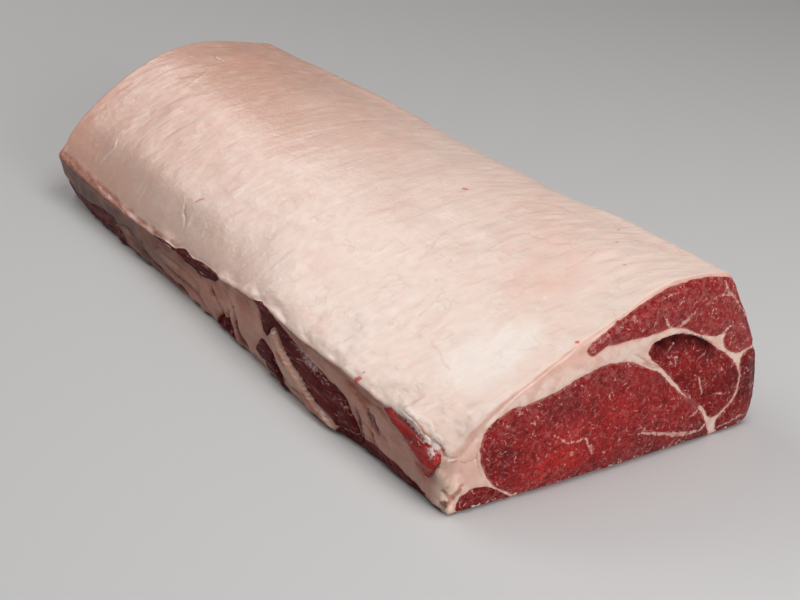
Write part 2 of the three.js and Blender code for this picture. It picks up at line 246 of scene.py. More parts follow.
PINK_LINES = [
    [(139, 9, 0.1), (146.1, 15.4, 0.4), (154.8, 15.4, 0.3), (165.2, 16.9, 0.3), (174.6, 24, 0.1)],
    [(116.4, -29.5, 0.1), (112, -19, 0.3), (107, -8, 0.1)],
    [(149.7, -49.5, 0.1), (148.9, -41, 0.3), (147.7, -34, 0.1)],
    [(169.4, -54.5, 0.2), (186.8, -59.3, 0.3), (197, -60.6, 0.1)],
    [(-190, 7, 0.1), (-184, -3, 0.4), (-178, -20, 0.1)],
    [(186, 8, 0.1), (189, 18, 0.3), (186, 28, 0.1)],
    [(60, 34, 0.1), (66, 46, 0.3), (63, 56, 0.1)],
    [(118, 36, 0.1), (126, 44, 0.4), (140, 47, 0.3), (150, 55, 0.1)],
]
RED_DOTS = [
    [(81, 18.2, 0.1), (82.6, 19, 0.35), (84, 19.2, 0.1)],
    [(233.8, -19.4, 0.5), (234.8, -18.8, 0.5)],
    [(170, 52, 0.2), (170.8, 52.4, 0.1)],
    [(183.6, 39.4, 0.2), (184.4, 40, 0.1)],
    [(206.2, 27.4, 0.1), (207, 28, 0.1)],
    [(-63.6, -70, 0.1), (-61, -68, 0.4), (-58.2, -66.2, 0.1)],
    [(153.4, -87.4, 0.5), (155, -86.8, 0.8), (157, -86.6, 0.5)],
    [(155.2, -83.6, 0.2), (155.8, -83, 0.1)],
]
LIP_REDS = [
    [(151.6, 28.6, 0.1), (152.6, 30.6, 0.4), (153.4, 32.4, 0.6)],
    [(224.4, 28.6, 0.1), (225.6, 28, 0.4)],
]
LIP_PINKS = [[(225.6, 27.2, 0.1), (228.4, 26, 0.4), (231, 25.8, 0.5), (234, 26.4, 0.2)]]
# Reddish brown stains under the lip of fat, which also stand as painted shade under its overhang and in
# the hollow by the corner lumps: x, z, reach along x, reach up and strength.
STAINS = [
    (167, 27.6, 9, 2.8, 1.0), (150, 28, 8, 1.8, 0.7), (127, 29.4, 16, 1.8, 0.7),
    (100, 30.6, 10, 1.4, 0.6), (35, 29.6, 14, 1.8, 0.7), (9, 27, 5, 2.4, 1.0), (-129, 21, 6, 3, 1.0),
    (-167, 22, 5, 3.4, 1.0), (-100, 21.6, 14, 1.4, 0.8), (-150, 20.6, 14, 1.2, 0.8),
    (-190, 21, 20, 1.4, 0.6), (226.2, 13, 2.2, 4, 0.9), (234.6, 4.2, 2.4, 2.6, 0.5),
]
# Lumps of yellowish fat at the near corner: x, y, z, reach and height.
LUMPS = [
    (236.4, -84.8, 14.8, 4.2, 2.2), (233.6, -88, 9.2, 2.8, 1.7), (231, -88, 18.6, 3.4, 1.0),
    (235.4, -85.4, 3.6, 2.2, 0.8), (238, -80, 11, 2.6, 0.7),
]
# The creases between them: how far round the corner, height and half width.
LUMP_CREASES = [
    [(103, 11.5, 0.1), (104.3, 10.9, 0.3), (105.3, 9.6, 0.5), (106.6, 8.4, 0.8), (107.8, 9.6, 0.6),
     (109, 11.4, 0.4), (110.3, 13.4, 0.1)],
    [(101.6, 4.6, 0.5), (102.6, 5, 1.0), (104.4, 6.2, 0.6), (105.4, 7, 0.1)],
]
MARKS = {
    "crack": (CRACKS, [FLAP_CREASE]),
    "pale": (PALE_RIDGES, [FLAP]),
    "pink": (PINK_LINES, LIP_PINKS),
    "red": (RED_DOTS, LIP_REDS),
}
MARK_RELIEF = {"crack": -0.4, "pale": 0.2, "pink": -0.2, "red": -0.1}

# Marks on the near cut face: y, z and half width of its creases, and soft pink patches.
FACE_CREASES = [
    [(11, 57, 0.1), (15, 54.4, 0.25), (20.4, 49.9, 0.4), (26, 46.9, 0.2)],
    [(16.6, 51, 0.1), (21, 48.2, 0.2), (25.4, 46.4, 0.2)],
    [(-86, 25.6, 0.15), (-84, 26, 0.2), (-81.2, 26.6, 0.25), (-77.5, 24.8, 0.25), (-74, 25.4, 0.2),
     (-71.8, 26, 0.1)],
    [(-52, -1, 0.1), (-56.2, 2, 0.1), (-60, 4.6, 0.3), (-63.9, 7.7, 0.05)],
    [(-69.6, 15.6, 0.05), (-71.8, 22, 0.1), (-72.1, 27, 0.3), (-71.4, 32, 0.05)],
]
FACE_BLUSHES = [
    (-78, 20, 10, 0.9), (-76, 31, 9, 0.9), (-62, 48, 9, 0.5), (-40, 54, 9, 0.3), (-14, 64, 7, 0.5),
    (-84, 5, 5, 0.8), (-73, 10, 4, 0.4),
]
# The shaded edge of the round muscle, a seam that lean shows through, and the top of the fat band.
ROUND_TOP = [(24.9, 60.3), (35.9, 59.8), (47.3, 56.4), (54.5, 51.2)]
FADED_SEAM = [(41, 28.4), (48.4, 21.6), (54.6, 16.4)]
BAND_LINE = [
    (-80, 40), (-58, 49.4), (-50, 50.9), (-34.6, 56.2), (-21.9, 58.9), (-13.9, 61.4), (90, 70),
]

# How finely the surfaces are drawn
SKIN_STEP = 1.2
SKIN_GROWTH = 1.9  # how much longer the steps get towards the far end
OUTLINE_STEP = 1.6
TAIL_STEP = 0.95
TAIL_SPANS = 7  # the named stretches of the outline that make the tail side
SOLE_STEP = 5.0
SOLE_WIDTH = 165.0
FACE_STEP = 0.95
ROW_HEIGHT = 0.866  # of a row of equal triangles, in steps
FACE_SHAKE = 0.16  # how far its points stray from an even grid, in steps
SEAM_STEP = 0.8
SEAM_GAP = 0.45  # the least distance between the points of the seams
SEAM_MEMORY = 60  # how many of the last of them a new one is held against
GRID_GAP = 0.6  # from the grid to the seams
RIM_GAP = 0.7  # from both to the rim
RIM_ROWS = 5
RIM_REACH = 40.0  # how far from a cut face its rounding moves the rows of the skin
PRISM_STEPS = 40
PRISM_STEP = 0.9
PRISM_MARGIN = 9  # how far the prisms reach out of the cut faces
STRAP_POINTS = 28
MARK_REACH = 1.3  # how far round a mark the skin is refined
CREASE_REACH = 1.6
CORNER = (222, -72)  # the lumps at the near corner are beyond this x and y
FAR_OFF = 9.0  # a distance that stands for nowhere near
NOISE_CELLS = 32  # the noise repeats after this many lumps
NOISE_START = 100.37
SHARP_ANGLE = math.radians(62)

# Shape


def ease(low, high, value):
    """A smooth step from 0 at low to 1 at high."""
    t = np.clip((value - low) / (high - low), 0, 1)
    return t * t * (3 - 2 * t)


def bell(value):
    """A smooth hump, 1 at 0 and gone beyond about 2."""
    return np.exp(-(value**2))


def smooth(places, values, at):
    """The smooth line through values at these places; each row of values may be its own."""
    places = np.asarray(places, float)
    at = np.clip(np.asarray(at, float), places[0], places[-1])
    values = np.broadcast_to(values, at.shape + places.shape)
    last = len(places) - 1
    i = np.clip(np.searchsorted(places, at, side="right") - 1, 0, last - 1)
    k = np.arange(last + 1)
    before, after = np.maximum(k - 1, 0), np.minimum(k + 1, last)
    slopes = (values[..., after] - values[..., before]) / (places[after] - places[before])

    def pick(table, j):
        return np.take_along_axis(table, j[..., None], -1)[..., 0]

    run = places[i + 1] - places[i]
    t = (at - places[i]) / run
    share = ease(0, 1, t)
    tangents = t * (1 - t) * ((1 - t) * pick(slopes, i) - t * pick(slopes, i + 1)) * run
    return pick(values, i) * (1 - share) + pick(values, i + 1) * share + tangents


def line_at(stops, at, column=1):
    """The smooth line through the stops, each a place and its values."""
    table = np.array(stops, float)
    return smooth(table[:, 0], table[:, column], at)


def top_at(x, y):
    """Height of the top at a place on the loin."""
    x, y = np.broadcast_arrays(np.asarray(x, float), np.asarray(y, float))
    share = np.clip((x - FAR) / LENGTH, 0, 1)[..., None]
    heights = TOP_FAR + (TOP_NEAR - TOP_FAR) * share
    heights = np.concatenate([heights, line_at(RIDGE, x)[..., None]], -1)
    return smooth([*ACROSS, RIDGE_PLACE], heights, y)


def stretch_at(x, y):
    """How much wider and higher the flesh at x is than on the near cut face, at its y there."""
    place = np.clip(y, ACROSS[0], RIDGE_PLACE)
    rise = top_at(x, place) / top_at(NEAR, place)
    spread = np.where(y < 0, line_at(SIDE, x) / line_at(SIDE, NEAR), 1.0)
    return spread, rise


def through(points, counts, closed):
    """Points on the smooth curve through the named ones, with a count for each stretch."""
    if closed:
        ring = np.concatenate([points[..., -1:, :], points, points[..., :2, :]], -2)
    else:
        first = 2 * points[..., :1, :] - points[..., 1:2, :]
        last = 2 * points[..., -1:, :] - points[..., -2:-1, :]
        ring = np.concatenate([first, points, last], -2)
    parts = []
    for k, count in enumerate(counts):
        a, b, c, d = (ring[..., k + n : k + n + 1, :] for n in range(4))
        ab, bc, cd = (
            np.linalg.norm(v - u, axis=-1, keepdims=True) ** 0.5 for u, v in ((a, b), (b, c), (c, d))
        )
        leave = ((b - a) / ab - (c - a) / (ab + bc) + (c - b) / bc) * bc
        arrive = ((c - b) / bc - (d - b) / (bc + cd) + (d - c) / cd) * bc
        t = (np.arange(count) / count)[:, None]
        square = 3 * (c - b) - 2 * leave - arrive
        cube = 2 * (b - c) + leave + arrive
        parts.append(b + leave * t + square * t**2 + cube * t**3)
    if not closed:
        parts.append(points[..., -1:, :])
    return np.concatenate(parts, -2)


def counts_for(points, step, closed=True):
    """How many steps each stretch between named points takes."""
    lengths = np.linalg.norm(np.roll(points, -1, axis=0) - points, axis=-1)
    return [max(1, round(length / step)) for length in (lengths if closed else lengths[:-1])]


def drawn(named, step=OUTLINE_STEP, closed=True):
    """The smooth line through named points, closed like a muscle's outline or open."""
    named = np.array(named, float)
    return through(named, counts_for(named, step, closed), closed)


def skin_points(x):
    """The named points of the loin's outline at each x: tail side, top, chine side."""
    foot, side, lip, ridge = (line_at(stops, x) for stops in (FOOT, SIDE, LIP, RIDGE))
    swell = CHINE_SWELL * np.sin(2 * np.pi * x / CHINE_WAVE)
    brim = np.maximum(top_at(x, ACROSS[0]), lip + 3 + 0.5 * (top_at(x, ACROSS[1]) - lip - 2))
    shoulder = lip + 1.7 + 0.45 * (brim - lip - 1.7)
    flat = np.zeros_like(x)
    named = [
        (-foot + 1.2, flat),
        (-foot - 0.6, flat + 4),
        (-(foot + side) / 2 - 0.8, lip * 0.45),
        (-side + 0.3, lip * 0.85),
        (-side + 0.5, lip - 0.2),
        (-side + 2.4, lip + 1.7),
        (-side + 8.5, shoulder),
        (flat + ACROSS[0], brim),
        *[(flat + y, top_at(x, y)) for y in ACROSS[1:]],
        (flat + RIDGE_PLACE, ridge),
        (flat + 70.5, ridge - 5),
        *[(y + swell * (z > 0), flat + z) for y, z in CHINE],
    ]
    return np.stack([np.stack(point, -1) for point in named], -2)


def skin(x):
    """The loin's whole outline at each x, with the underside last."""
    named = skin_points(np.zeros(1))[0]
    counts = counts_for(named, OUTLINE_STEP, closed=False)
    counts[:TAIL_SPANS] = counts_for(named[: TAIL_SPANS + 1], TAIL_STEP, closed=False)
    over = through(skin_points(x), counts, closed=False)
    steps = round(SOLE_WIDTH / SOLE_STEP)
    share = (np.arange(1, steps) / steps)[:, None]
    sole = over[..., -1:, :] * (1 - share) + over[..., :1, :] * share
    return np.concatenate([over, sole], -2)


GRADIENTS = np.random.default_rng(11).standard_normal((NOISE_CELLS,) * 3 + (3,))


def noise(points, size, shift=0.0):
    """Smooth noise from about -1 to 1 with lumps of this size, which may differ by axis."""
    q = points / np.asarray(size, float) + NOISE_START + shift
    cell = np.floor(q).astype(int)
    f = q - cell
    u = f * f * f * (f * (f * 6 - 15) + 10)
    total = np.zeros(len(q))
    for corner in np.ndindex(2, 2, 2):
        weight = np.prod(np.where(corner, u, 1 - u), axis=1)
        gradient = GRADIENTS[tuple(((cell + corner) % NOISE_CELLS).T)]
        total += weight * ((f - corner) * gradient).sum(axis=1)
    return total


def noises(points, *layers):
    """The sum of layers of noise, each an amount, a size and a shift."""
    return sum(amount * noise(points, size, shift) for amount, size, shift in layers)


def drift(points):
    """How far the flesh strays from the drawn section, in y and z; more towards the far end."""
    x, _, z = points.T
    fine, tiny, wide = (90, 6.5, 6.5), (60, 2.2, 2.2), (150, 38, 38)
    away = 2.6 * ease(NEAR - 60, FAR, x)
    strays = np.column_stack([
        noises(points, (0.4, fine, shift), (0.38, tiny, shift + 2), (away, wide, shift + 5))
        for shift in (1.3, 7.9)
    ])
    strays[:, 1] += 2.4 * ease(NEAR - 6, NEAR - 45, x) * ease(40, 70, z)
    return strays


def at_x(x, places):
    """Points at x from their places y, z."""
    return np.column_stack([np.full(len(places), x), places])


def flesh(points):
    """The place y, z on the near cut face of the fibres that pass through each point."""
    x, y, z = points.T
    y = y / stretch_at(x, y)[0]
    return np.column_stack([y, z / stretch_at(x, y)[1]]) + drift(points)


def carried(outline, x):
    """Moves an outline of the near cut face to x."""
    points = at_x(x, outline * np.column_stack(stretch_at(x, outline[:, 0])))
    points[:, 1:] -= drift(points)
    return points


OUTLINES = {"eye_muscle": EYE, "cap_muscle": CAP, "round_muscle": ROUND, "chine_strap": CHINE_STRAP}
MUSCLES = {name: drawn(outline) for name, outline in OUTLINES.items()}


def tail_outline(x):
    """The named points of the lean under the tail at x."""
    outer = -line_at(FOOT, x) - line_at(TAIL_EDGE, x, 1)
    edge = line_at(TAIL_EDGE, x, 2)
    ridge = [(y, max(z, edge * 0.9)) for y, z in TAIL_RIDGE]
    return np.array([(outer, -6), (outer, edge), *ridge, (TAIL_INNER, 0), (TAIL_INNER + 1, -6)], float)


def tail_drawn(x):
    """The smooth outline of the tail's lean, with the same number of points at every x."""
    return through(tail_outline(x), counts_for(tail_outline(NEAR), OUTLINE_STEP), closed=True)


def in_parts(work, points, size):
    """What the work gives for all points, done for some at a time to save memory."""
    return np.concatenate([work(points[k : k + size]) for k in range(0, len(points), size)])


def distance_to_line(points, line):
    """Distance of each point from an open line, less the line's half width if it has one."""
    table = np.array(line, float)
    size = points.shape[1]
    a, b = table[:-1, :size], table[1:, :size]
    along = b - a
    to = points[:, None, :] - a
    share = np.clip((to * along).sum(-1) / (along**2).sum(-1), 0, 1)
    away = np.linalg.norm(to - share[..., None] * along, axis=-1)
    if table.shape[1] > size:
        away = away - (table[:-1, size] * (1 - share) + table[1:, size] * share)
    return away.min(axis=1)


def nearest(points, lines):
    """The distance of each point from the nearest of some lines."""
    return in_parts(
        lambda some: np.min([distance_to_line(some, line) for line in lines], axis=0), points, 20000
    )


def patches(places, spots):
    """The sum of soft round or oval patches: place, one or two reaches, strength."""
    total = np.zeros(len(places))
    for first, second, *reach, strength in spots:
        away = (places - [first, second]) / (reach * 2)[:2]
        total += strength * np.exp(-(away**2).sum(axis=1))
    return total


def depth_in(outline, points):
    """How far each point is inside a closed outline; negative outside it."""
    ring = np.vstack([outline, outline[:1]])
    (ya, za), (yb, zb) = ring[:-1].T, ring[1:].T
    rise = np.where(zb == za, 1, zb - za)

    def depths(some):
        away = distance_to_line(some, ring)
        y, z = some[:, :1], some[:, 1:]
        crossing = y < ya + (z - za) * (yb - ya) / rise
        inside = (((za > z) != (zb > z)) & crossing).sum(axis=1) % 2 == 1
        return np.where(inside, away, -away)

    return in_parts(depths, points, 5000)


def depth_in_any(outlines, places):
    """How far each place on the near cut face is inside the nearest of some outlines."""
    return np.max([depth_in(outline, places) for outline in outlines], axis=0)


def depth_in_straps(x, z):
    """How far each place on the tail side is inside a band of lean."""
    depths = []
    for stops in FLANK_STRAPS.values():
        beyond = np.maximum(stops[0][0] - x, x - stops[-1][0])
        depth = line_at(stops, x, 2) - np.abs(z - line_at(stops, x, 1))
        depths.append(np.where(beyond > 0, np.minimum(depth, -beyond), depth))
    return np.max(depths, axis=0)


# Relief

WRINKLE = np.array([0.34, 0.94])  # the direction of the wrinkles on top, x and y
FOLD = np.array([0.97, -0.24])  # the direction of the folds on the tail side, x and z


def turned(points, axis, direction):
    """The points in axes that run along and across a direction in the plane of x and axis."""
    x, other = points[:, 0], points[:, axis]
    along = direction[0] * x + direction[1] * other
    across = direction[1] * x - direction[0] * other
    return np.column_stack([along, across, points[:, 3 - axis]])


def top_relief(points):
    """Soft lumps, fine creases and ripples of the fat cover."""
    x, y, _ = points.T
    lumps = noises(points, (0.7, 62, 2), (0.4, 27, 4), (0.14, 11, 9)) * (1 - 0.4 * ease(30, 60, y))
    lines = turned(points, 1, WRINKLE)
    lines[:, 1] += 6 * noise(points, 42, 6)
    creases = 0.17 * bell(noise(lines, (46, 9, 46), 1) / 0.09) * ease(-0.1, 0.45, noise(points, 36, 8))
    ripples = 0.13 * noise(lines, (17, 5.2, 17), 3) + 0.1 * noise(points, 4.6, 7)
    near = ease(30, 130, x) * (1 - 0.65 * ease(30, 56, y))
    ripples += near * (0.34 * noise(lines, (12, 7, 9), 3) + 0.15 * noise(points, 3.8, 5))
    damp = ease(150, 190, x) * ease(10, -20, y)
    ripples += damp * noises(points, (0.3, (6, 5, 6), 13), (0.14, 2.6, 14))
    return lumps - creases + ripples


def tail_relief(points):
    """Folds, the groove under the fat's lip, slits, rolls and the lumpy foot of the tail side."""
    x, _, z = points.T
    lip = line_at(LIP, x)
    folds = noises(turned(points, 2, FOLD), (0.9, (34, 9, 20), 2), (0.55, (13, 4.4, 10), 4))
    rough = 0.22 * noise(points, 2.8, 6)
    edge = -1.5 * ease(lip - 0.4, lip - 2.8, z) * ease(lip - 13, lip - 4, z) * ease(190, 174, x)
    edge *= 0.4 + 0.6 * ease(-150, -70, x)
    torn = 0.5 + 1.0 * bell((x - 155) / 28) + 0.6 * bell((x - 200) / 20) + 0.5 * bell((x + 190) / 60)
    tags = torn * noise(points * [1, 0, 0.6], 3.2, 7)
    foot = (1.6 * noise(points * [1, 0, 0.4], 8, 3) + tags) * bell(z / 6)
    places = points[:, [0, 2]]
    depth = depth_in_straps(x, z)
    bands = (0.5 + 0.7 * ease(174, 190, x)) * ease(0.5, 4, depth) - 0.7 * bell(depth / 1.1)
    rolls = nearest(places, ROLLS)
    raised = 1.7 * ease(0.8, -2.4, rolls) - 0.9 * bell((rolls - 1.2) / 0.9)
    slits = -1.6 * ease(0.9, -0.6, nearest(places, SLITS))
    film = ease(0.35, 0.8, patches(places, FILMS) + 0.4 * noise(points, 1.6, 3))
    return folds + rough + edge + foot + bands + raised + slits + 0.12 * film * ease(180, 170, x)


def chine_relief(points):
    """Ripples along the grain and the grooves between the muscles on the chine side."""
    ripples = noises(points, (0.7, (64, 17, 17), 2), (0.3, (22, 5, 5), 4), (0.1, 2.6, 5))
    return ripples - 0.8 * bell(depth_in_any(MUSCLES.values(), flesh(points)) / 1.2)


def skin_relief(points):
    """How far the skin stands out at each of its points."""
    x, y, z = points.T
    lip = line_at(LIP, x)
    ridge = line_at(RIDGE, x)
    tail = ease(-60, -72, y) * ease(lip + 6, lip + 1, z)
    chine = ease(58, 68, y) * ease(ridge - 1, ridge - 6, z)
    relief = np.zeros(len(points))
    for weight, shape in ((tail, tail_relief), (chine, chine_relief), (1 - tail - chine, top_relief)):
        some = weight > 0.001
        relief[some] += weight[some] * shape(points[some])
    return relief * ease(0, 2.5, z)


def mark_distance(points, kind):
    """How far each point is from the nearest mark of a kind, less its half width."""
    _, y, z = points.T
    bent = points + np.column_stack([
        noises(points, (1.2, 9, shift), (0.5, 3.4, shift + 1)) for shift in (1, 4, 8)
    ])
    top, side = MARKS[kind]
    away = np.full(len(points), FAR_OFF)
    over = (z > 30) & (y < 75)
    away[over] = nearest(bent[over][:, :2], top)
    beside = (y < -62) & (z < 46)
    away[beside] = np.minimum(away[beside], nearest(bent[beside][:, [0, 2]], side))
    return away


def face_relief(points, outlines):
    """How far a cut face stands out at each of its points: the lean swells between the seams."""
    places = flesh(points)
    depth = depth_in_any(outlines, places)
    lean = 1.5 * (1 - np.exp(-np.maximum(depth, 0) / 3.2))
    fat = 0.35 * (1 - np.exp(np.minimum(depth, 0) / 0.8))
    crease = 0.6 * ease(0.7, -0.3, nearest(places, FACE_CREASES)) * (depth < 0)
    sunk = 1.9 * bell(distance_to_line(places, ROUND_TOP) / 2.4)
    sunk *= depth_in(MUSCLES["round_muscle"], places) > -0.2
    lumps = noises(points, (0.5, (30, 13, 13), 2), (0.3, (12, 4.2, 4.2), 4))
    grain = 0.2 * noise(points, (6, 2.3, 2.3), 6)
    return lean + fat - 0.45 - crease - sunk + lumps + grain * (depth > 0)


# Meshes


def in_frame(points):
    """Points of the drawings in metres, in the part's frame."""
    return (np.asarray(points) + [0, MIDDLE_Y, 0]) / 1000


def mesh_of(name, points, faces):
    """A mesh in the part's frame from points of the drawings."""
    mesh = bpy.data.meshes.new(name)
    mesh.from_pydata(in_frame(points).tolist(), [], faces)
    mesh.validate()
    return mesh


def vectors_of(items, key):
    """A table of the vectors that some items of a mesh hold."""
    flat = np.empty(len(items) * 3, np.float32)
    items.foreach_get(key, flat)
    return flat.reshape(-1, 3)


def points_of(mesh):
    """A mesh's points in millimetres, in the drawings' frame."""
    return vectors_of(mesh.vertices, "co").astype(float) * 1000 - [0, MIDDLE_Y, 0]


def grid_faces(rows, columns):
    """Quads between the rows of a grid that closes on itself across."""
    i, j = np.meshgrid(np.arange(rows - 1), np.arange(columns), indexing="ij")
    a = (i * columns + j).ravel()
    b = (i * columns + (j + 1) % columns).ravel()
    return np.column_stack([a, a + columns, b + columns, b]).tolist()


def rim_radius(rim, sign):
    """How round the edge of a cut face is at each point of its rim."""
    y, z = rim.T
    radius = 2.2 + 0.7 * noise(at_x(sign * NEAR, rim), 7, 3)
    if sign > 0:
        radius += 6.5 * bell((y + 86) / 17) * bell((z - 36) / 16)
        radius += 2.6 * ease(-80, -86, y) * ease(2, 12, z) + 2.5 * bell((y + 88) / 8) * bell((z - 12) / 8)
        radius -= 0.9 * ease(-8, 12, y) * ease(50, 76, z)
    else:
        radius += 1.2
    return np.maximum(radius, 0.8)


def bow_at(y):
    """How far the rim of a cut face stands out from side to side."""
    return FACE_BOW * (1 - (y / SIDE[0][1]) ** 2)


def skin_grid():
    """The skin as rows from the far rim to the near one, with the rims rounded."""
    mean = SKIN_STEP * (1 + SKIN_GROWTH) / 2
    share = np.linspace(1, 0, round(LENGTH / mean) + 1)
    x = NEAR - LENGTH * (2 * share + (SKIN_GROWTH - 1) * share**2) / (1 + SKIN_GROWTH)
    outlines = skin(x)
    along = np.broadcast_to(x[:, None, None], outlines.shape[:2] + (1,))
    rows = np.concatenate([along, outlines], -1)
    fade = [1.0] * len(rows)
    for sign in (-1, 1):
        rim = rows[-1 if sign > 0 else 0, :, 1:]
        radius = rim_radius(rim, sign)
        end = sign * (NEAR + bow_at(rim[:, 0]))
        inner = sign * (NEAR - RIM_REACH)
        share = np.clip((rows[..., 0] - inner) / (sign * RIM_REACH), 0, 1)
        close = (rows[..., 0] - inner) * sign > 0
        rows[..., 0] = np.where(close, inner + share * (end - sign * radius - inner), rows[..., 0])
        towards = np.column_stack([rim[:, 0] * 0.72, np.full(len(rim), FACE_MIDDLE[1])]) - rim
        towards /= np.linalg.norm(towards, axis=1, keepdims=True)
        added = []
        for k in range(1, RIM_ROWS + 1):
            turn = 0.5 * math.pi * k / RIM_ROWS
            place = rim + towards * (radius * (1 - math.cos(turn)))[:, None]
            added.append(np.column_stack([end - sign * radius * (1 - math.sin(turn)), place]))
            fade.insert(0 if sign < 0 else len(fade), math.cos(turn))
        rows = np.concatenate([rows, added] if sign > 0 else [added[::-1], rows])
    return rows, np.array(fade)


def grid_normals(rows):
    """Outward unit normals of the skin's grid."""
    along = np.gradient(rows, axis=0)
    around = np.roll(rows, -1, axis=1) - np.roll(rows, 1, axis=1)
    normals = np.cross(along, around)
    return normals / np.linalg.norm(normals, axis=-1, keepdims=True)


def cut_face(rim, sign):
    """Points inside a rim and the triangles that join them to it, numbered with the rim first."""
    (low_y, low_z), (high_y, high_z) = rim.min(axis=0), rim.max(axis=0)
    rows = np.arange(low_z, high_z, FACE_STEP * ROW_HEIGHT)
    grid_y, grid_z = np.meshgrid(np.arange(low_y, high_y, FACE_STEP), rows)
    grid_y[1::2] += FACE_STEP / 2
    grid = np.column_stack([grid_y.ravel(), grid_z.ravel()])
    grid += np.random.default_rng(5).uniform(-FACE_SHAKE, FACE_SHAKE, grid.shape) * FACE_STEP

    lines = [drawn(outline, FACE_STEP) for outline in OUTLINES.values()]
    for line in [*VEINS, *FACE_CREASES]:
        lines.append(drawn(np.array(line)[:, :2], SEAM_STEP, closed=False))
    kept = []
    for place in np.vstack([carried(line, sign * NEAR)[:, 1:] for line in lines]):
        if all((abs(place - other) > SEAM_GAP).any() for other in kept[-SEAM_MEMORY:]):
            kept.append(place)
    seams = np.array(kept)
    seams = seams[depth_in(rim, seams) > RIM_GAP]

    grid = grid[depth_in(rim, grid) > RIM_GAP]
    away = in_parts(lambda some: np.linalg.norm(some[:, None] - seams, axis=-1).min(axis=1), grid, 2000)
    inner = np.vstack([grid[away > GRID_GAP], seams])
    border = [(k, (k + 1) % len(rim)) for k in range(len(rim))]
    points = [Vector(place) for place in np.vstack([rim, inner])]
    found = delaunay_2d_cdt(points, border, [], 1, 1e-6)
    names = [origins[0] for origins in found[3]]
    return inner, np.array([[names[k] for k in face] for face in found[2]])


def from_middle(places):
    """The angle and the distance of each place on a cut face from its middle."""
    away = places - FACE_MIDDLE
    return np.arctan2(away[:, 1], away[:, 0]), np.linalg.norm(away, axis=1)


def whole_loin():
    """The loin's fine closed skin."""
    rows, fade = skin_grid()
    columns = rows.shape[1]
    flat = rows.reshape(-1, 3)
    relief = skin_relief(flat) * np.repeat(fade, columns)
    outer = flat + grid_normals(rows).reshape(-1, 3) * relief[:, None]
    outer[:, 2] = np.maximum(outer[:, 2], 0)
    points = [outer]
    faces = grid_faces(len(rows), columns)
    total = len(outer)
    for sign in (-1, 1):
        first = len(outer) - columns if sign > 0 else 0
        rim = outer[first : first + columns, 1:]
        inner, triangles = cut_face(rim, sign)
        angles, away = from_middle(inner)
        share = np.minimum(away / np.interp(angles, *from_middle(rim), period=2 * math.pi), 1)
        face = at_x(sign * NEAR, inner)
        outlines = [*MUSCLES.values(), tail_drawn(sign * NEAR)]
        out = bow_at(inner[:, 0]) + FACE_DOME * (1 - share**4)
        out += ease(0, 4, depth_in(rim, inner)) * face_relief(face, outlines)
        face[:, 0] += sign * out
        numbers = np.where(triangles < columns, triangles + first, triangles - columns + total)
        faces += numbers[:, ::sign].tolist()
        points.append(face)
        total += len(inner)
    return mesh_of("whole_loin", np.vstack(points), faces)


def lumps_at(points, heights=True):
    """How far the lumps at the near corner stand out, or just how much each point is one."""
    total = np.zeros(len(points))
    for *middle, reach, height in LUMPS:
        away = np.linalg.norm(points - middle, axis=1)
        if heights:
            total += height * bell(away / reach) - 0.25 * bell((away - 1.7 * reach) / 0.9)
        else:
            total += bell(away / reach)
    return total


def crease_distance(points):
    """How far each point is from the creases between those lumps, or 0 inside them."""
    x, y, _ = points.T
    bent = points + np.column_stack([0.6 * noise(points, 3, shift) for shift in (2, 5, 7)])
    places = np.column_stack([(bent[:, 0] + bent[:, 1]) / math.sqrt(2), bent[:, 2]])
    away = np.maximum(nearest(places, LUMP_CREASES), 0)
    return np.where((x > CORNER[0]) & (y < CORNER[1]), away, FAR_OFF)


def marked(mesh):
    """Refines the skin round the drawn marks and shapes them."""
    points = points_of(mesh)
    close = np.min([mark_distance(points, kind) for kind in MARKS], axis=0) < MARK_REACH
    close |= crease_distance(points) < CREASE_REACH
    form = bmesh.new()
    form.from_mesh(mesh)
    edges = [edge for edge in form.edges if all(close[vert.index] for vert in edge.verts)]
    bmesh.ops.subdivide_edges(form, edges=edges, cuts=2, use_grid_fill=True)
    form.to_mesh(mesh)
    form.free()
    mesh.update()
    points = points_of(mesh)
    out = lumps_at(points) - 1.3 * bell(crease_distance(points))
    for kind, height in MARK_RELIEF.items():
        out += height * ease(0.5, -0.25, mark_distance(points, kind))
    points += vectors_of(mesh.vertex_normals, "vector") * out[:, None]
    mesh.vertices.foreach_set("co", in_frame(points).astype(np.float32).ravel())
    mesh.update()
    return mesh


def loft(name, rings):
    """A closed mesh through rings of equal length, from low x to high x."""
    size = len(rings[0])
    ends = [list(range(size)), [len(rings) * size - 1 - k for k in range(size)]]
    return mesh_of(name, np.vstack(rings), grid_faces(len(rings), size) + ends)


def prism(name):
    """A muscle's whole length, reaching out of both cut faces."""
    rings = []
    for x in np.linspace(FAR - PRISM_MARGIN, NEAR + PRISM_MARGIN, PRISM_STEPS + 1):
        if name == "tail_lean":
            ring = at_x(x, tail_drawn(x))
            ring[:, 1:] -= 0.6 * drift(ring)
        else:
            ring = carried(drawn(OUTLINES[name], PRISM_STEP), x)
        rings.append(ring)
    return loft(name, rings)


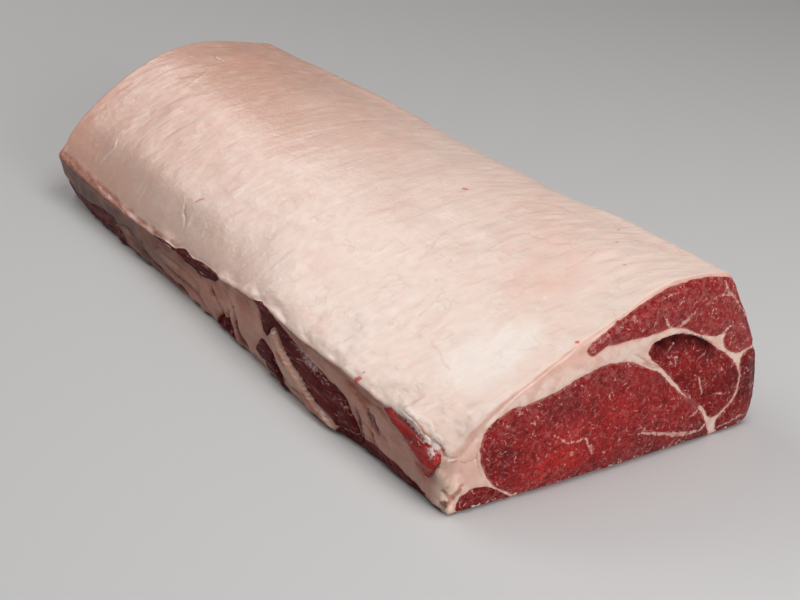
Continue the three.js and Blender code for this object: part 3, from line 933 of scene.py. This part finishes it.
def strap(name):
    """A band of lean sunk in the tail side, with an uneven edge."""
    stops = FLANK_STRAPS[name]
    start, end = stops[0][0], stops[-1][0]
    turn = np.linspace(0, 2 * math.pi, STRAP_POINTS, endpoint=False)
    rings = []
    for x in np.linspace(start, end, round((end - start) / 2)):
        middle, half = (line_at(stops, x, column) for column in (1, 2))
        share = middle / line_at(LIP, x)
        skin_y = -(line_at(FOOT, x) * (1 - share) + line_at(SIDE, x) * share)
        depth = half * STRAP_DEPTH + np.where(np.cos(turn) > 0, 3.0, 1.0)
        places = np.column_stack([skin_y - depth * np.cos(turn), middle + half * np.sin(turn)])
        ring = at_x(x, places)
        ring[:, 2] += noises(ring, (0.9, (12, 30, 5), 2), (0.4, (5, 30, 2.5), 4))
        rings.append(ring)
    return loft(name, rings)


def shown(name, data):
    """A new object in the scene."""
    item = bpy.data.objects.new(name, data)
    bpy.context.scene.collection.objects.link(item)
    return item


def combined(base, tool, operation):
    """The mesh left by a Boolean of two closed meshes."""
    holder = shown("base", base)
    cutter = shown("tool", tool)
    modifier = holder.modifiers.new("cut", "BOOLEAN")
    modifier.object = cutter
    modifier.operation = operation
    modifier.solver = "MANIFOLD"
    graph = bpy.context.evaluated_depsgraph_get()
    made = bpy.data.meshes.new_from_object(holder.evaluated_get(graph))
    bpy.data.objects.remove(holder)
    bpy.data.objects.remove(cutter)
    return made


cover = marked(whole_loin())
pieces = {}
for name in [*MUSCLES, "tail_lean", *FLANK_STRAPS]:
    tool = strap(name) if name in FLANK_STRAPS else prism(name)
    pieces[name] = combined(cover, tool, "INTERSECT")
    cover = combined(cover, tool, "DIFFERENCE")
pieces["fat_cover"] = cover

# Materials


class Graph:
    """A material's nodes, built by short calls that each return an output socket."""

    def __init__(self, name, stretch=(1, 1, 1)):
        self.material = bpy.data.materials.new(name)
        self.material.use_nodes = True
        self.tree = self.material.node_tree
        self.stretch = stretch
        self.colour = None
        metres = self.add("ShaderNodeTexCoord").outputs["Object"]
        scaled = self.vector("MULTIPLY", metres, (1000,) * 3)
        self.place = self.vector("SUBTRACT", scaled, (0, MIDDLE_Y, 0))

    def add(self, kind, inputs=None, **settings):
        node = self.tree.nodes.new(kind)
        for key, value in settings.items():
            setattr(node, key, value)
        for key, value in (inputs or {}).items():
            self.put(node.inputs[key], value)
        return node

    def put(self, socket, value):
        if isinstance(value, bpy.types.NodeSocket):
            self.tree.links.new(value, socket)
        elif socket.type == "RGBA":
            socket.default_value = (*value[:3], 1)
        else:
            socket.default_value = value

    def vector(self, operation, a, b):
        return self.add("ShaderNodeVectorMath", {0: a, 1: b}, operation=operation).outputs[0]

    def math(self, operation, a, b=0.0, c=0.0):
        return self.add("ShaderNodeMath", {0: a, 1: b, 2: c}, operation=operation).outputs[0]

    def times(self, first, *others):
        for other in others:
            first = self.math("MULTIPLY", first, other)
        return first

    def plus(self, total, value, share):
        return self.math("MULTIPLY_ADD", value, share, total)

    def rest(self, value):
        return self.math("SUBTRACT", 1.0, value)

    def attribute(self, name):
        return self.add("ShaderNodeAttribute", attribute_name=name).outputs["Fac"]

    def lumps(self, size, stretch, shift, place=None):
        """The place in lumps of this size in millimetres, longer along the stretched axes."""
        scale = tuple(1 / (size * s) for s in stretch or self.stretch)
        return self.vector("ADD", self.vector("MULTIPLY", place or self.place, scale), (shift,) * 3)

    def noise(self, size, stretch=None, detail=2.0, rough=0.5, distortion=0.0, shift=0.0, place=None):
        inputs = {"Vector": self.lumps(size, stretch, shift, place), "Scale": 1.0}
        inputs |= {"Detail": detail, "Roughness": rough, "Distortion": distortion}
        return self.add("ShaderNodeTexNoise", inputs).outputs["Fac"]

    def cells(self, size, warp, shift):
        """The distance from the edges of cells of this size, which waver."""
        place = self.lumps(size, None, shift)
        bend = self.add("ShaderNodeTexNoise", {"Vector": place, "Scale": 0.9, "Detail": 2.0})
        centred = self.vector("SUBTRACT", bend.outputs["Color"], (0.5,) * 3)
        place = self.vector("ADD", place, self.vector("MULTIPLY", centred, (warp,) * 3))
        inputs = {"Vector": place, "Scale": 1.0}
        return self.add("ShaderNodeTexVoronoi", inputs, feature="DISTANCE_TO_EDGE").outputs["Distance"]

    def step(self, value, low, high, start=0.0, end=1.0):
        inputs = {"Value": value, "From Min": low, "From Max": high, "To Min": start, "To Max": end}
        return self.add("ShaderNodeMapRange", inputs, interpolation_type="SMOOTHSTEP").outputs["Result"]

    def jitter(self, name, size, amount, stretch=None, shift=0.0):
        """A stored value with noise added that swings by about this amount."""
        value = self.attribute(name)
        swing = self.math("SUBTRACT", self.noise(size, stretch, detail=3, shift=shift), 0.5)
        return self.plus(value, swing, 2 * amount)

    def ridge(self, size, width, stretch=None, shift=0.0, detail=2.0):
        """Thin winding lines, 1 along their middle."""
        value = self.noise(size, stretch, detail=detail, distortion=0.4, shift=shift)
        away = self.math("ABSOLUTE", self.math("SUBTRACT", value, 0.5))
        return self.step(away, width, width * 0.25)

    def mix(self, share, a, b):
        return self.add("ShaderNodeMix", {0: share, 6: a, 7: b}, data_type="RGBA").outputs[2]

    def lay(self, share, colour):
        """Lays a colour over the surface's own where the share says."""
        self.colour = self.mix(share, self.colour, colour)

    def finish(self, height, depth, **values):
        """Sets the shader, with bump from a height of 0 to 1 that stands for a depth in mm."""
        inputs = {"Height": height, "Distance": depth / 1000, "Strength": 1.0}
        normal = self.add("ShaderNodeBump", inputs).outputs["Normal"]
        shader = self.tree.nodes["Principled BSDF"]
        for key, value in {"Base_Color": self.colour, "Normal": normal, **values}.items():
            self.put(shader.inputs[key.replace("_", " ")], value)
        return self.material


# How the marks on the fat look: how far out they fade, how strong they are and their colour. The dark
# brown of the cracks and of the crease under the flap is partly painted shade in those grooves.
MARK_LOOKS = {
    "pink": (1.1, 0.26, (0.74, 0.38, 0.31)), "pale": (0.7, 0.5, (0.95, 0.84, 0.76)),
    "crack": (0.5, 0.6, (0.34, 0.20, 0.165)), "red": (0.9, 0.88, (0.60, 0.06, 0.05)),
}


def fat_material():
    """Moist cream-pink fat."""
    g = Graph("fat_surface")
    angle = math.atan2(WRINKLE[1], WRINKLE[0])
    across = g.add("ShaderNodeMapping", {"Vector": g.place, "Rotation": (0, 0, -angle)}).outputs["Vector"]
    cut = g.attribute("cut")
    on_top = g.rest(g.math("MAXIMUM", cut, g.attribute("tail")))

    far = g.jitter("far", 40, 0.28, shift=2)
    g.colour = (0.865, 0.668, 0.58)
    g.lay(g.step(far, 0.0, 1.0), (0.74, 0.43, 0.33))
    g.lay(g.step(g.noise(11, detail=4, shift=8), 0.50, 0.75, 0, 0.32), (0.89, 0.72, 0.64))
    lines = g.noise(3.4, (5, 1, 5), distortion=0.3, shift=1, place=across)
    dents = g.step(lines, 0.42, 0.30)
    crests = g.step(lines, 0.58, 0.70)
    patch = g.step(g.noise(24, detail=2, shift=6), 0.42, 0.6, 0.15, 1.0)
    g.lay(g.times(dents, patch, on_top, 0.34), (0.80, 0.47, 0.37))
    g.lay(g.times(crests, patch, on_top, 0.28), (0.95, 0.84, 0.75))
    winding = g.ridge(7, 0.016, (1.8, 1, 1), shift=11, detail=3)
    fine_lines = g.times(winding, g.step(g.noise(16, shift=13), 0.5, 0.62))
    g.lay(g.times(fine_lines, on_top, 0.3), (0.74, 0.43, 0.35))

    face = g.mix(g.attribute("cover"), (0.70, 0.525, 0.45), (0.69, 0.43, 0.35))
    face = g.mix(g.step(g.noise(7, detail=4, shift=5), 0.44, 0.66, 0, 0.8), face, (0.60, 0.345, 0.27))
    g.lay(cut, face)
    blush = g.jitter("blush", 14, 0.35, shift=4)
    pink = g.step(blush, 0.1, 1.0, 0, 0.75)
    g.lay(pink, g.mix(cut, (0.84, 0.47, 0.37), (0.62, 0.37, 0.295)))
    # Painted highlight: the pale patches lighten the top near the near end.
    g.lay(g.step(blush, -0.1, -0.9, 0, 0.75), (0.92, 0.81, 0.74))
    edge = g.jitter("edge", 1.8, 0.8, shift=7)
    g.lay(g.step(edge, 1.5, 0.1, 0, 0.4), (0.70, 0.34, 0.28))
    g.lay(g.times(g.step(edge, 0.5, -0.2), 0.6), (0.50, 0.12, 0.09))
    # The creases in the fat of the cut face are laid as thin brown lines, partly painted shade in them.
    g.lay(g.times(g.step(g.jitter("crease", 1.4, 0.3, shift=5), 0.45, -0.2), 0.6), (0.46, 0.19, 0.14))
    g.lay(g.step(g.jitter("fleshy", 2.0, 0.25, shift=3), 0.35, 0.65), (0.24, 0.018, 0.018))

    # The tail side of the fat is laid a darker reddish brown: partly its own tone, partly painted shade,
    # since that side lies in shade.
    tail = g.attribute("tail")
    streaks = g.step(g.noise(9, (3, 1, 1), detail=4, shift=9), 0.4, 0.65)
    side = g.mix(streaks, (0.45, 0.175, 0.115), (0.52, 0.24, 0.17))
    streaks = g.step(g.noise(3.0, (5, 1, 1), detail=3, shift=2), 0.52, 0.68, 0, 0.5)
    side = g.mix(streaks, side, (0.46, 0.15, 0.10))
    near_roll = g.mix(g.step(far, 0.01, 0.10), (0.84, 0.61, 0.475), (0.42, 0.24, 0.165))
    side = g.mix(g.times(g.attribute("roll"), 0.9), side, near_roll)
    # Painted shade: towards the far end the tail side is laid nearly black.
    side = g.mix(g.step(far, 0.40, 0.82, 0, 0.92), side, (0.075, 0.022, 0.016))
    g.lay(g.math("MAXIMUM", g.times(tail, 0.95), g.times(g.attribute("roll"), 0.7)), side)
    # Reddish brown stain, partly real and partly painted shade: under the lip, on its crest and in the
    # creases between the corner lumps.
    stain = g.jitter("stain", 2.5, 0.35, (2, 1, 1), shift=6)
    g.lay(g.step(stain, 0.25, 0.9, 0, 0.85), (0.36, 0.095, 0.05))
    film = g.step(g.jitter("film", 1.5, 0.8, (1.5, 1, 1), shift=1), 0.35, 0.8)
    g.lay(g.times(film, 0.9), (0.82, 0.71, 0.65))
    # The slits are laid dark red and near black in the middle: lean, and painted shade in the deep slots.
    slit = g.jitter("slit", 1.6, 0.6, shift=4)
    g.lay(g.step(slit, 0.8, -0.2, 0, 0.8), (0.26, 0.055, 0.04))
    g.lay(g.step(slit, 0.1, -0.6), (0.13, 0.012, 0.010))
    not_cut = g.rest(cut)
    for kind, (reach, share, tint) in MARK_LOOKS.items():
        mark = g.step(g.jitter(kind, 1.2, 0.25, shift=share), reach, -0.25)
        g.lay(g.times(mark, not_cut, share), tint)

    height = g.times(lines, on_top, 0.55)
    height = g.plus(height, g.noise(2.6, (1.6, 1, 1), detail=3, rough=0.6, shift=6), 0.5)
    height = g.plus(height, g.times(fine_lines, on_top), -0.12)
    height = g.plus(height, g.noise(2.2, (4, 1, 1), detail=3, shift=2), g.times(tail, 1.2))
    rough = g.step(g.noise(6, detail=3, shift=9), 0.3, 0.7, 0.28, 0.44)
    rough = g.plus(rough, g.times(tail, g.step(far, 0.1, 0.6)), 0.3)
    return g.finish(
        height, 0.55, Roughness=rough, Subsurface_Weight=0.2, Subsurface_Radius=(1.0, 0.45, 0.3),
        Subsurface_Scale=0.003, Coat_Weight=0.28, Coat_Roughness=0.26,
    )


def lean_material(name, coat, specular):
    """Wet raw beef, with its fibres along x."""
    g = Graph(name, stretch=(14, 1, 1))
    cut = g.attribute("cut")
    haze = g.attribute("haze")
    dark = g.attribute("dark")
    deep = g.mix(dark, (0.145, 0.005, 0.006), (0.05, 0.004, 0.005))
    red = g.mix(dark, (0.365, 0.012, 0.013), (0.13, 0.008, 0.010))
    bright = g.mix(dark, (0.56, 0.022, 0.018), (0.22, 0.014, 0.014))
    # The stored tone holds the lean's brighter and darker patches and, on the round muscle, painted
    # shade.
    glow = g.jitter("glow", 6, 0.6, shift=1)
    g.colour = deep
    g.lay(g.step(glow, -0.7, 0.25), red)
    g.lay(g.step(glow, 0.2, 1.1), bright)
    mottle = g.noise(1.9, detail=4, rough=0.7, shift=5)
    g.lay(g.step(mottle, 0.52, 0.36, 0, 0.85), deep)
    bundles = g.cells(5.6, warp=1.7, shift=2)
    between = g.step(bundles, 0.07, 0.0)
    between = g.times(between, g.step(g.noise(4, shift=14), 0.48, 0.62, 0.0, 0.45), cut)
    # Painted shadow: where that value drops lowest, under the fat band that overhangs the round muscle,
    # the lean is laid near black.
    g.lay(g.step(glow, -0.7, -1.6), (0.022, 0.002, 0.002))

    cloud = g.noise(5, detail=3, shift=4)
    g.lay(g.step(cloud, 0.48, 0.34, 0, 0.6), deep)
    # Pale flecks over the lean: marbling, and partly painted glints of the wet surface.
    grain = g.noise(0.95, detail=4, rough=0.75, shift=2)
    spread = g.step(cloud, 0.35, 0.65, 0.3, 0.95)
    lit = g.step(glow, -1.3, -0.3)
    g.lay(g.times(g.step(grain, 0.57, 0.70), spread, lit, 0.7), (0.56, 0.12, 0.105))
    g.lay(g.times(between, lit), (0.58, 0.19, 0.165))
    # Greyish pink haze over the lean: partly its own pale film and partly painted sheen, strongest on the
    # cap and on the near band of the tail side.
    hazy = g.step(g.noise(3.0, detail=4, rough=0.6, shift=3), 0.44, 0.64, 0.05, 0.6)
    g.lay(g.times(haze, hazy), (0.50, 0.13, 0.12))
    curls = g.times(g.ridge(2.6, 0.05, shift=7), g.step(g.noise(2.8, shift=9), 0.50, 0.58))
    g.lay(g.times(curls, lit, 0.3), (0.66, 0.24, 0.21))
    flecks = g.times(g.ridge(5, 0.035, shift=3), g.step(g.noise(2.0, shift=12), 0.54, 0.62))
    flecks = g.times(flecks, g.step(cloud, 0.38, 0.56, 0.35, 1.0), lit)
    g.lay(g.times(flecks, 0.7), (0.84, 0.46, 0.41))

    vein = g.step(g.jitter("vein", 1.3, 1.5, shift=3), 0.30, -0.3)
    vein = g.times(vein, g.step(g.noise(3.4, shift=19), 0.36, 0.52, 0.35, 1))
    g.lay(g.times(vein, 0.9), (0.80, 0.45, 0.39))
    rim = g.step(g.attribute("seam"), 1.1, 0.4)
    rim = g.times(rim, g.step(g.noise(3, shift=6), 0.40, 0.6, 0.05, 0.7))
    g.lay(g.times(rim, cut, lit), (0.58, 0.20, 0.17))
    low = g.step(g.add("ShaderNodeSeparateXYZ", {0: g.place}).outputs["Z"], 3.0, 1.6)
    crumbs = g.step(g.noise(2.2, detail=3, shift=15), 0.57, 0.62)
    g.lay(g.times(low, cut, crumbs), (0.84, 0.68, 0.62))

    side = g.rest(cut)
    skin = g.times(side, g.step(g.noise(3, (9, 1, 1), detail=4, shift=5), 0.52, 0.72, 0, 0.35))
    g.lay(skin, g.mix(dark, (0.40, 0.13, 0.11), (0.20, 0.07, 0.065)))
    film = g.step(g.jitter("film", 1.2, 1.1, (1.6, 1, 1), shift=8), 0.40, 1.1)
    g.lay(g.times(film, 0.85), g.mix(dark, (0.92, 0.72, 0.68), (0.44, 0.29, 0.28)))

    fine = g.times(g.noise(0.6, (6, 1, 1), detail=2, shift=1), 0.6)
    height = g.plus(g.plus(g.plus(fine, grain, 1.0), mottle, 2.0), film, 0.6)
    height = g.plus(height, g.times(g.step(bundles, 0.0, 0.3), cut), 0.8)
    rough = g.step(g.noise(4, shift=8), 0.3, 0.7, 0.28, 0.46)
    return g.finish(
        height, 0.8, Roughness=rough, Subsurface_Weight=0.08, Subsurface_Radius=(1.0, 0.2, 0.15),
        Subsurface_Scale=0.002, Coat_Weight=coat, Coat_Roughness=0.14, Specular_IOR_Level=specular,
    )


def face_share(mesh, low=0.35, high=0.75):
    """1 on the cut faces and 0 on the sides, for each point, by how far it faces along x."""
    facing = np.abs(vectors_of(mesh.vertex_normals, "vector")[:, 0])
    return ease(NEAR - 8, NEAR - 1, np.abs(points_of(mesh)[:, 0])) * ease(low, high, facing)


def give(mesh, **values):
    """Stores values for the points of a mesh."""
    for name, value in values.items():
        layer = mesh.attributes.new(name, "FLOAT", "POINT")
        layer.data.foreach_set("value", np.broadcast_to(value, len(mesh.vertices)).astype(np.float32))


# How bright, hazy and dark the lean of each piece is. The haze is partly painted sheen, and the darkness
# of the pieces on the tail side is partly painted shade, for the deep shade that side lies in.
LEAN_LOOKS = {
    "cap_muscle": (0.1, 0.85, 0.0), "round_muscle": (0.05, 0.0, 0.2), "tail_lean": (-0.1, 0.45, 0.45),
    "chine_strap": (0.1, 0.0, 0.3), "flank_strap_near": (1.0, 1.8, 0.0),
    "flank_strap_mid": (-0.1, 0.1, 0.9), "flank_strap_far": (-0.3, 0.0, 0.95),
    "flank_patch_low": (-0.2, 0.1, 0.95), "flank_patch_small": (0.0, 0.0, 0.95),
}


def dress_lean(name, mesh):
    """Stores what the look of the lean depends on."""
    points = points_of(mesh)
    places = flesh(points)
    face = face_share(mesh)
    bright, haze, dark = LEAN_LOOKS.get(name, (0.0, 0.0, 0.0))
    shade = 0.0
    # Painted shade: the round muscle is stored darker along its top edge, for the shadow of the band of
    # fat that overhangs it.
    if name == "round_muscle":
        shade = 1.35 * bell(distance_to_line(places, ROUND_TOP) / 5.5)
    # Painted shade, partly: the tail's lean is laid darker on its sides than on the cut face.
    if name == "tail_lean":
        dark = dark + 0.5 * (1 - face)
    give(
        mesh, cut=face, vein=nearest(places, VEINS),
        seam=depth_in(MUSCLES[name], places) if name in MUSCLES else FAR_OFF,
        glow=bright + patches(places, GLOWS) * face - shade,
        haze=haze + patches(places, HAZES) * face, dark=dark,
        film=patches(points[:, [0, 2]], FILMS) if name.startswith("flank") else 0.0,
    )


def dress_fat(mesh):
    """Stores what the look of the fat depends on."""
    points = points_of(mesh)
    x, y, z = points.T
    face = face_share(mesh, 0.12, 0.5)
    lip = line_at(LIP, x)
    ragged = 0.7 * noise(points, 5, 2)
    tail = ease(-60, -75, y) * ease(lip + 0.4 + ragged, lip - 1.4 + ragged, z) * (1 - face)
    side = points[:, [0, 2]]
    # Painted light: at the far end the shoulder above the lip is stored as less far, so it is laid paler,
    # for light that the lamps don't bring there.
    brow = 0.25 * bell((y + 74) / 12) * ease(0, -60, x)
    give(mesh, cut=face, far=ease(190, -250, x) - 0.12 * ease(20, 60, y) - brow, tail=tail)

    # Painted shadow in a line under the lip's overhang and, on its lit crest, painted shade that dims it;
    # both are stored with the real stains.
    under_lip = bell((z - lip + 1.6) / 1.2) * (0.75 + 0.5 * noise(points, (20, 9, 9), 9))
    streaks = 0.8 * ease(0.0, 0.5, noise(turned(points, 2, FOLD), (24, 3.4, 12), 9))
    stain = tail * np.maximum(np.maximum(under_lip, streaks), 1.2 * patches(side, STAINS))
    gaps = 0.5 + 0.5 * ease(-0.5, 0.3, noise(points, (12, 9, 9), 5))
    gaps = np.maximum(gaps, ease(-90, -150, x)) * (0.35 + 0.65 * ease(-20, -90, x))
    brim = bell((z - lip - 1.2) / (2.4 + 1.2 * ease(-120, -200, x))) * gaps
    stain = np.maximum(stain, 0.75 * brim * ease(-60, -75, y) * (1 - face)) * ease(202, 188, x)
    lumps = ease(0.15, 0.7, lumps_at(points, heights=False))
    corner = np.maximum(lumps, 0.85 * tail * ease(223, 230, x))
    give(
        # The creases between the corner lumps are stored as stain too: painted shade in them.
        mesh, stain=np.maximum(stain, 0.72 * bell(crease_distance(points))),
        slit=np.where(tail > 0.02, nearest(side, SLITS), FAR_OFF),
        roll=np.maximum(tail * ease(1.5, -2, nearest(side, ROLLS)), corner),
        # Painted shade: the white film on the fat is laid weaker behind the near band, where that side
        # lies in shade.
        film=ease(-60, -75, y) * (1 - face) * patches(side, FILMS) * (0.3 + 0.7 * ease(176, 186, x)),
        **{kind: mark_distance(points, kind) for kind in MARKS},
    )

    places = flesh(points)
    # Painted shade: the rounded rims of the cut faces are added to the pink patches, so they are laid
    # pinker and darker to dim the light they catch.
    rim = bell((face_share(mesh, 0.1, 0.9) - 0.5) / 0.3) * ease(NEAR - 8, NEAR - 2, np.abs(x))
    blush = patches(points[:, :2], BLUSHES) * (1 - face) + patches(places, FACE_BLUSHES) * face
    outlines = [*MUSCLES.values(), tail_drawn(NEAR)]
    faded = bell((places[:, 0] - 48) / 6.5) * bell((places[:, 1] - 22.5) / 7.5)
    give(
        mesh, blush=blush + rim * ease(10, 20, z),
        crease=np.where(face > 0.3, nearest(places, FACE_CREASES), FAR_OFF),
        edge=np.where(face > 0.3, -depth_in_any(outlines, places), FAR_OFF),
        fleshy=faded * ease(3.2, 1.2, distance_to_line(places, FADED_SEAM)),
        cover=ease(-1.5, 2.5, places[:, 1] - np.interp(places[:, 0], *np.array(BAND_LINE).T)),
    )


SLOTS = {"eye_muscle": "lean", "cap_muscle": "lean", "chine_strap": "lean", "fat_cover": "fat"}
materials = {
    "fat": fat_material(),
    "lean": lean_material("lean_cut", 0.24, 0.1),
    "dark_lean": lean_material("dark_lean_cut", 0.12, 0.07),
    "flank": lean_material("flank_lean", 0.06, 0.04),
}

for name, mesh in pieces.items():
    slot = SLOTS.get(name, "dark_lean")
    if slot == "fat":
        dress_fat(mesh)
    else:
        dress_lean(name, mesh)
    mesh.name = name
    mesh.materials.clear()
    mesh.materials.append(materials["flank" if name.startswith(("flank", "tail")) else slot])
    mesh.polygons.foreach_set("material_index", [0] * len(mesh.polygons))
    mesh.shade_smooth()
    mesh.set_sharp_from_angle(angle=SHARP_ANGLE)
    piece = shown(name + "_fine", mesh)
    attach(piece, "root")
    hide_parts(name)

# Floor, light and camera

FLOOR_HALF = 4
FLOOR_DROP = 0.0004  # keeps the floor clear of the underside
FLOOR_GREY = 0.58
SKY = (0.9, 0.92, 0.95)
SKY_STRENGTH = 0.09
# Soft lights: direction, distance, size, power, colour and the place that each shines on.
LIGHTS = {
    "back_softbox": ((-0.75, -0.2, 0.63), 1.7, (1.1, 0.75), 8.6, (1, 0.98, 0.95), (0, 0, 0.03)),
    "top_softbox": ((0.22, 0.14, 1.0), 1.0, (0.7, 0.6), 5.95, (1, 0.98, 0.97), (0.19, 0, 0.06)),
    "left_softbox": ((-0.35, -0.5, 1.0), 1.5, (1.0, 0.8), 2.6, (1, 0.98, 0.95), (-0.12, 0, 0.05)),
    "front_fill": ((0.95, 0.03, 0.35), 1.3, (0.6, 0.6), 10.2, (1, 0.99, 0.98), (0.16, 0, 0.04)),
}
CAMERA_AT = Vector((0.7975, -0.4449 + MIDDLE_Y / 1000, 0.4032))
CAMERA_AIM = Vector((0.0736, -0.0151 + MIDDLE_Y / 1000, 0.0266))
SENSOR = 36
LENS = 78.57

floor_mesh = bpy.data.meshes.new("floor")
corners = [(a * FLOOR_HALF, b * FLOOR_HALF, 0) for a, b in ((-1, -1), (1, -1), (1, 1), (-1, 1))]
floor_mesh.from_pydata(corners, [], [(0, 1, 2, 3)])
floor = shown("floor", floor_mesh)
floor.location.z = -FLOOR_DROP
floor_look = bpy.data.materials.new("floor_paint")
floor_look.use_nodes = True
paint = floor_look.node_tree.nodes["Principled BSDF"]
paint.inputs["Base Color"].default_value = (FLOOR_GREY, FLOOR_GREY, FLOOR_GREY, 1)
paint.inputs["Roughness"].default_value = 0.7
floor_mesh.materials.append(floor_look)

for name, (direction, distance, size, power, colour, aim) in LIGHTS.items():
    lamp = bpy.data.lights.new(name, "AREA")
    lamp.shape = "RECTANGLE"
    lamp.size, lamp.size_y = size
    lamp.energy = power
    lamp.color = colour
    item = shown(name, lamp)
    towards = Vector(direction).normalized()
    item.location = Vector(aim) + towards * distance
    item.rotation_euler = towards.to_track_quat("Z", "Y").to_euler()

world = bpy.data.worlds.new("studio")
world.use_nodes = True
background = world.node_tree.nodes["Background"]
background.inputs["Color"].default_value = (*SKY, 1)
background.inputs["Strength"].default_value = SKY_STRENGTH
bpy.context.scene.world = world
bpy.context.scene.view_settings.view_transform = "Standard"

camera_data = bpy.data.cameras.new("camera")
camera_data.sensor_width = SENSOR
camera_data.lens = LENS
camera = shown("camera", camera_data)
camera.location = CAMERA_AT
camera.rotation_euler = (CAMERA_AIM - CAMERA_AT).to_track_quat("-Z", "Y").to_euler()
bpy.context.scene.camera = camera
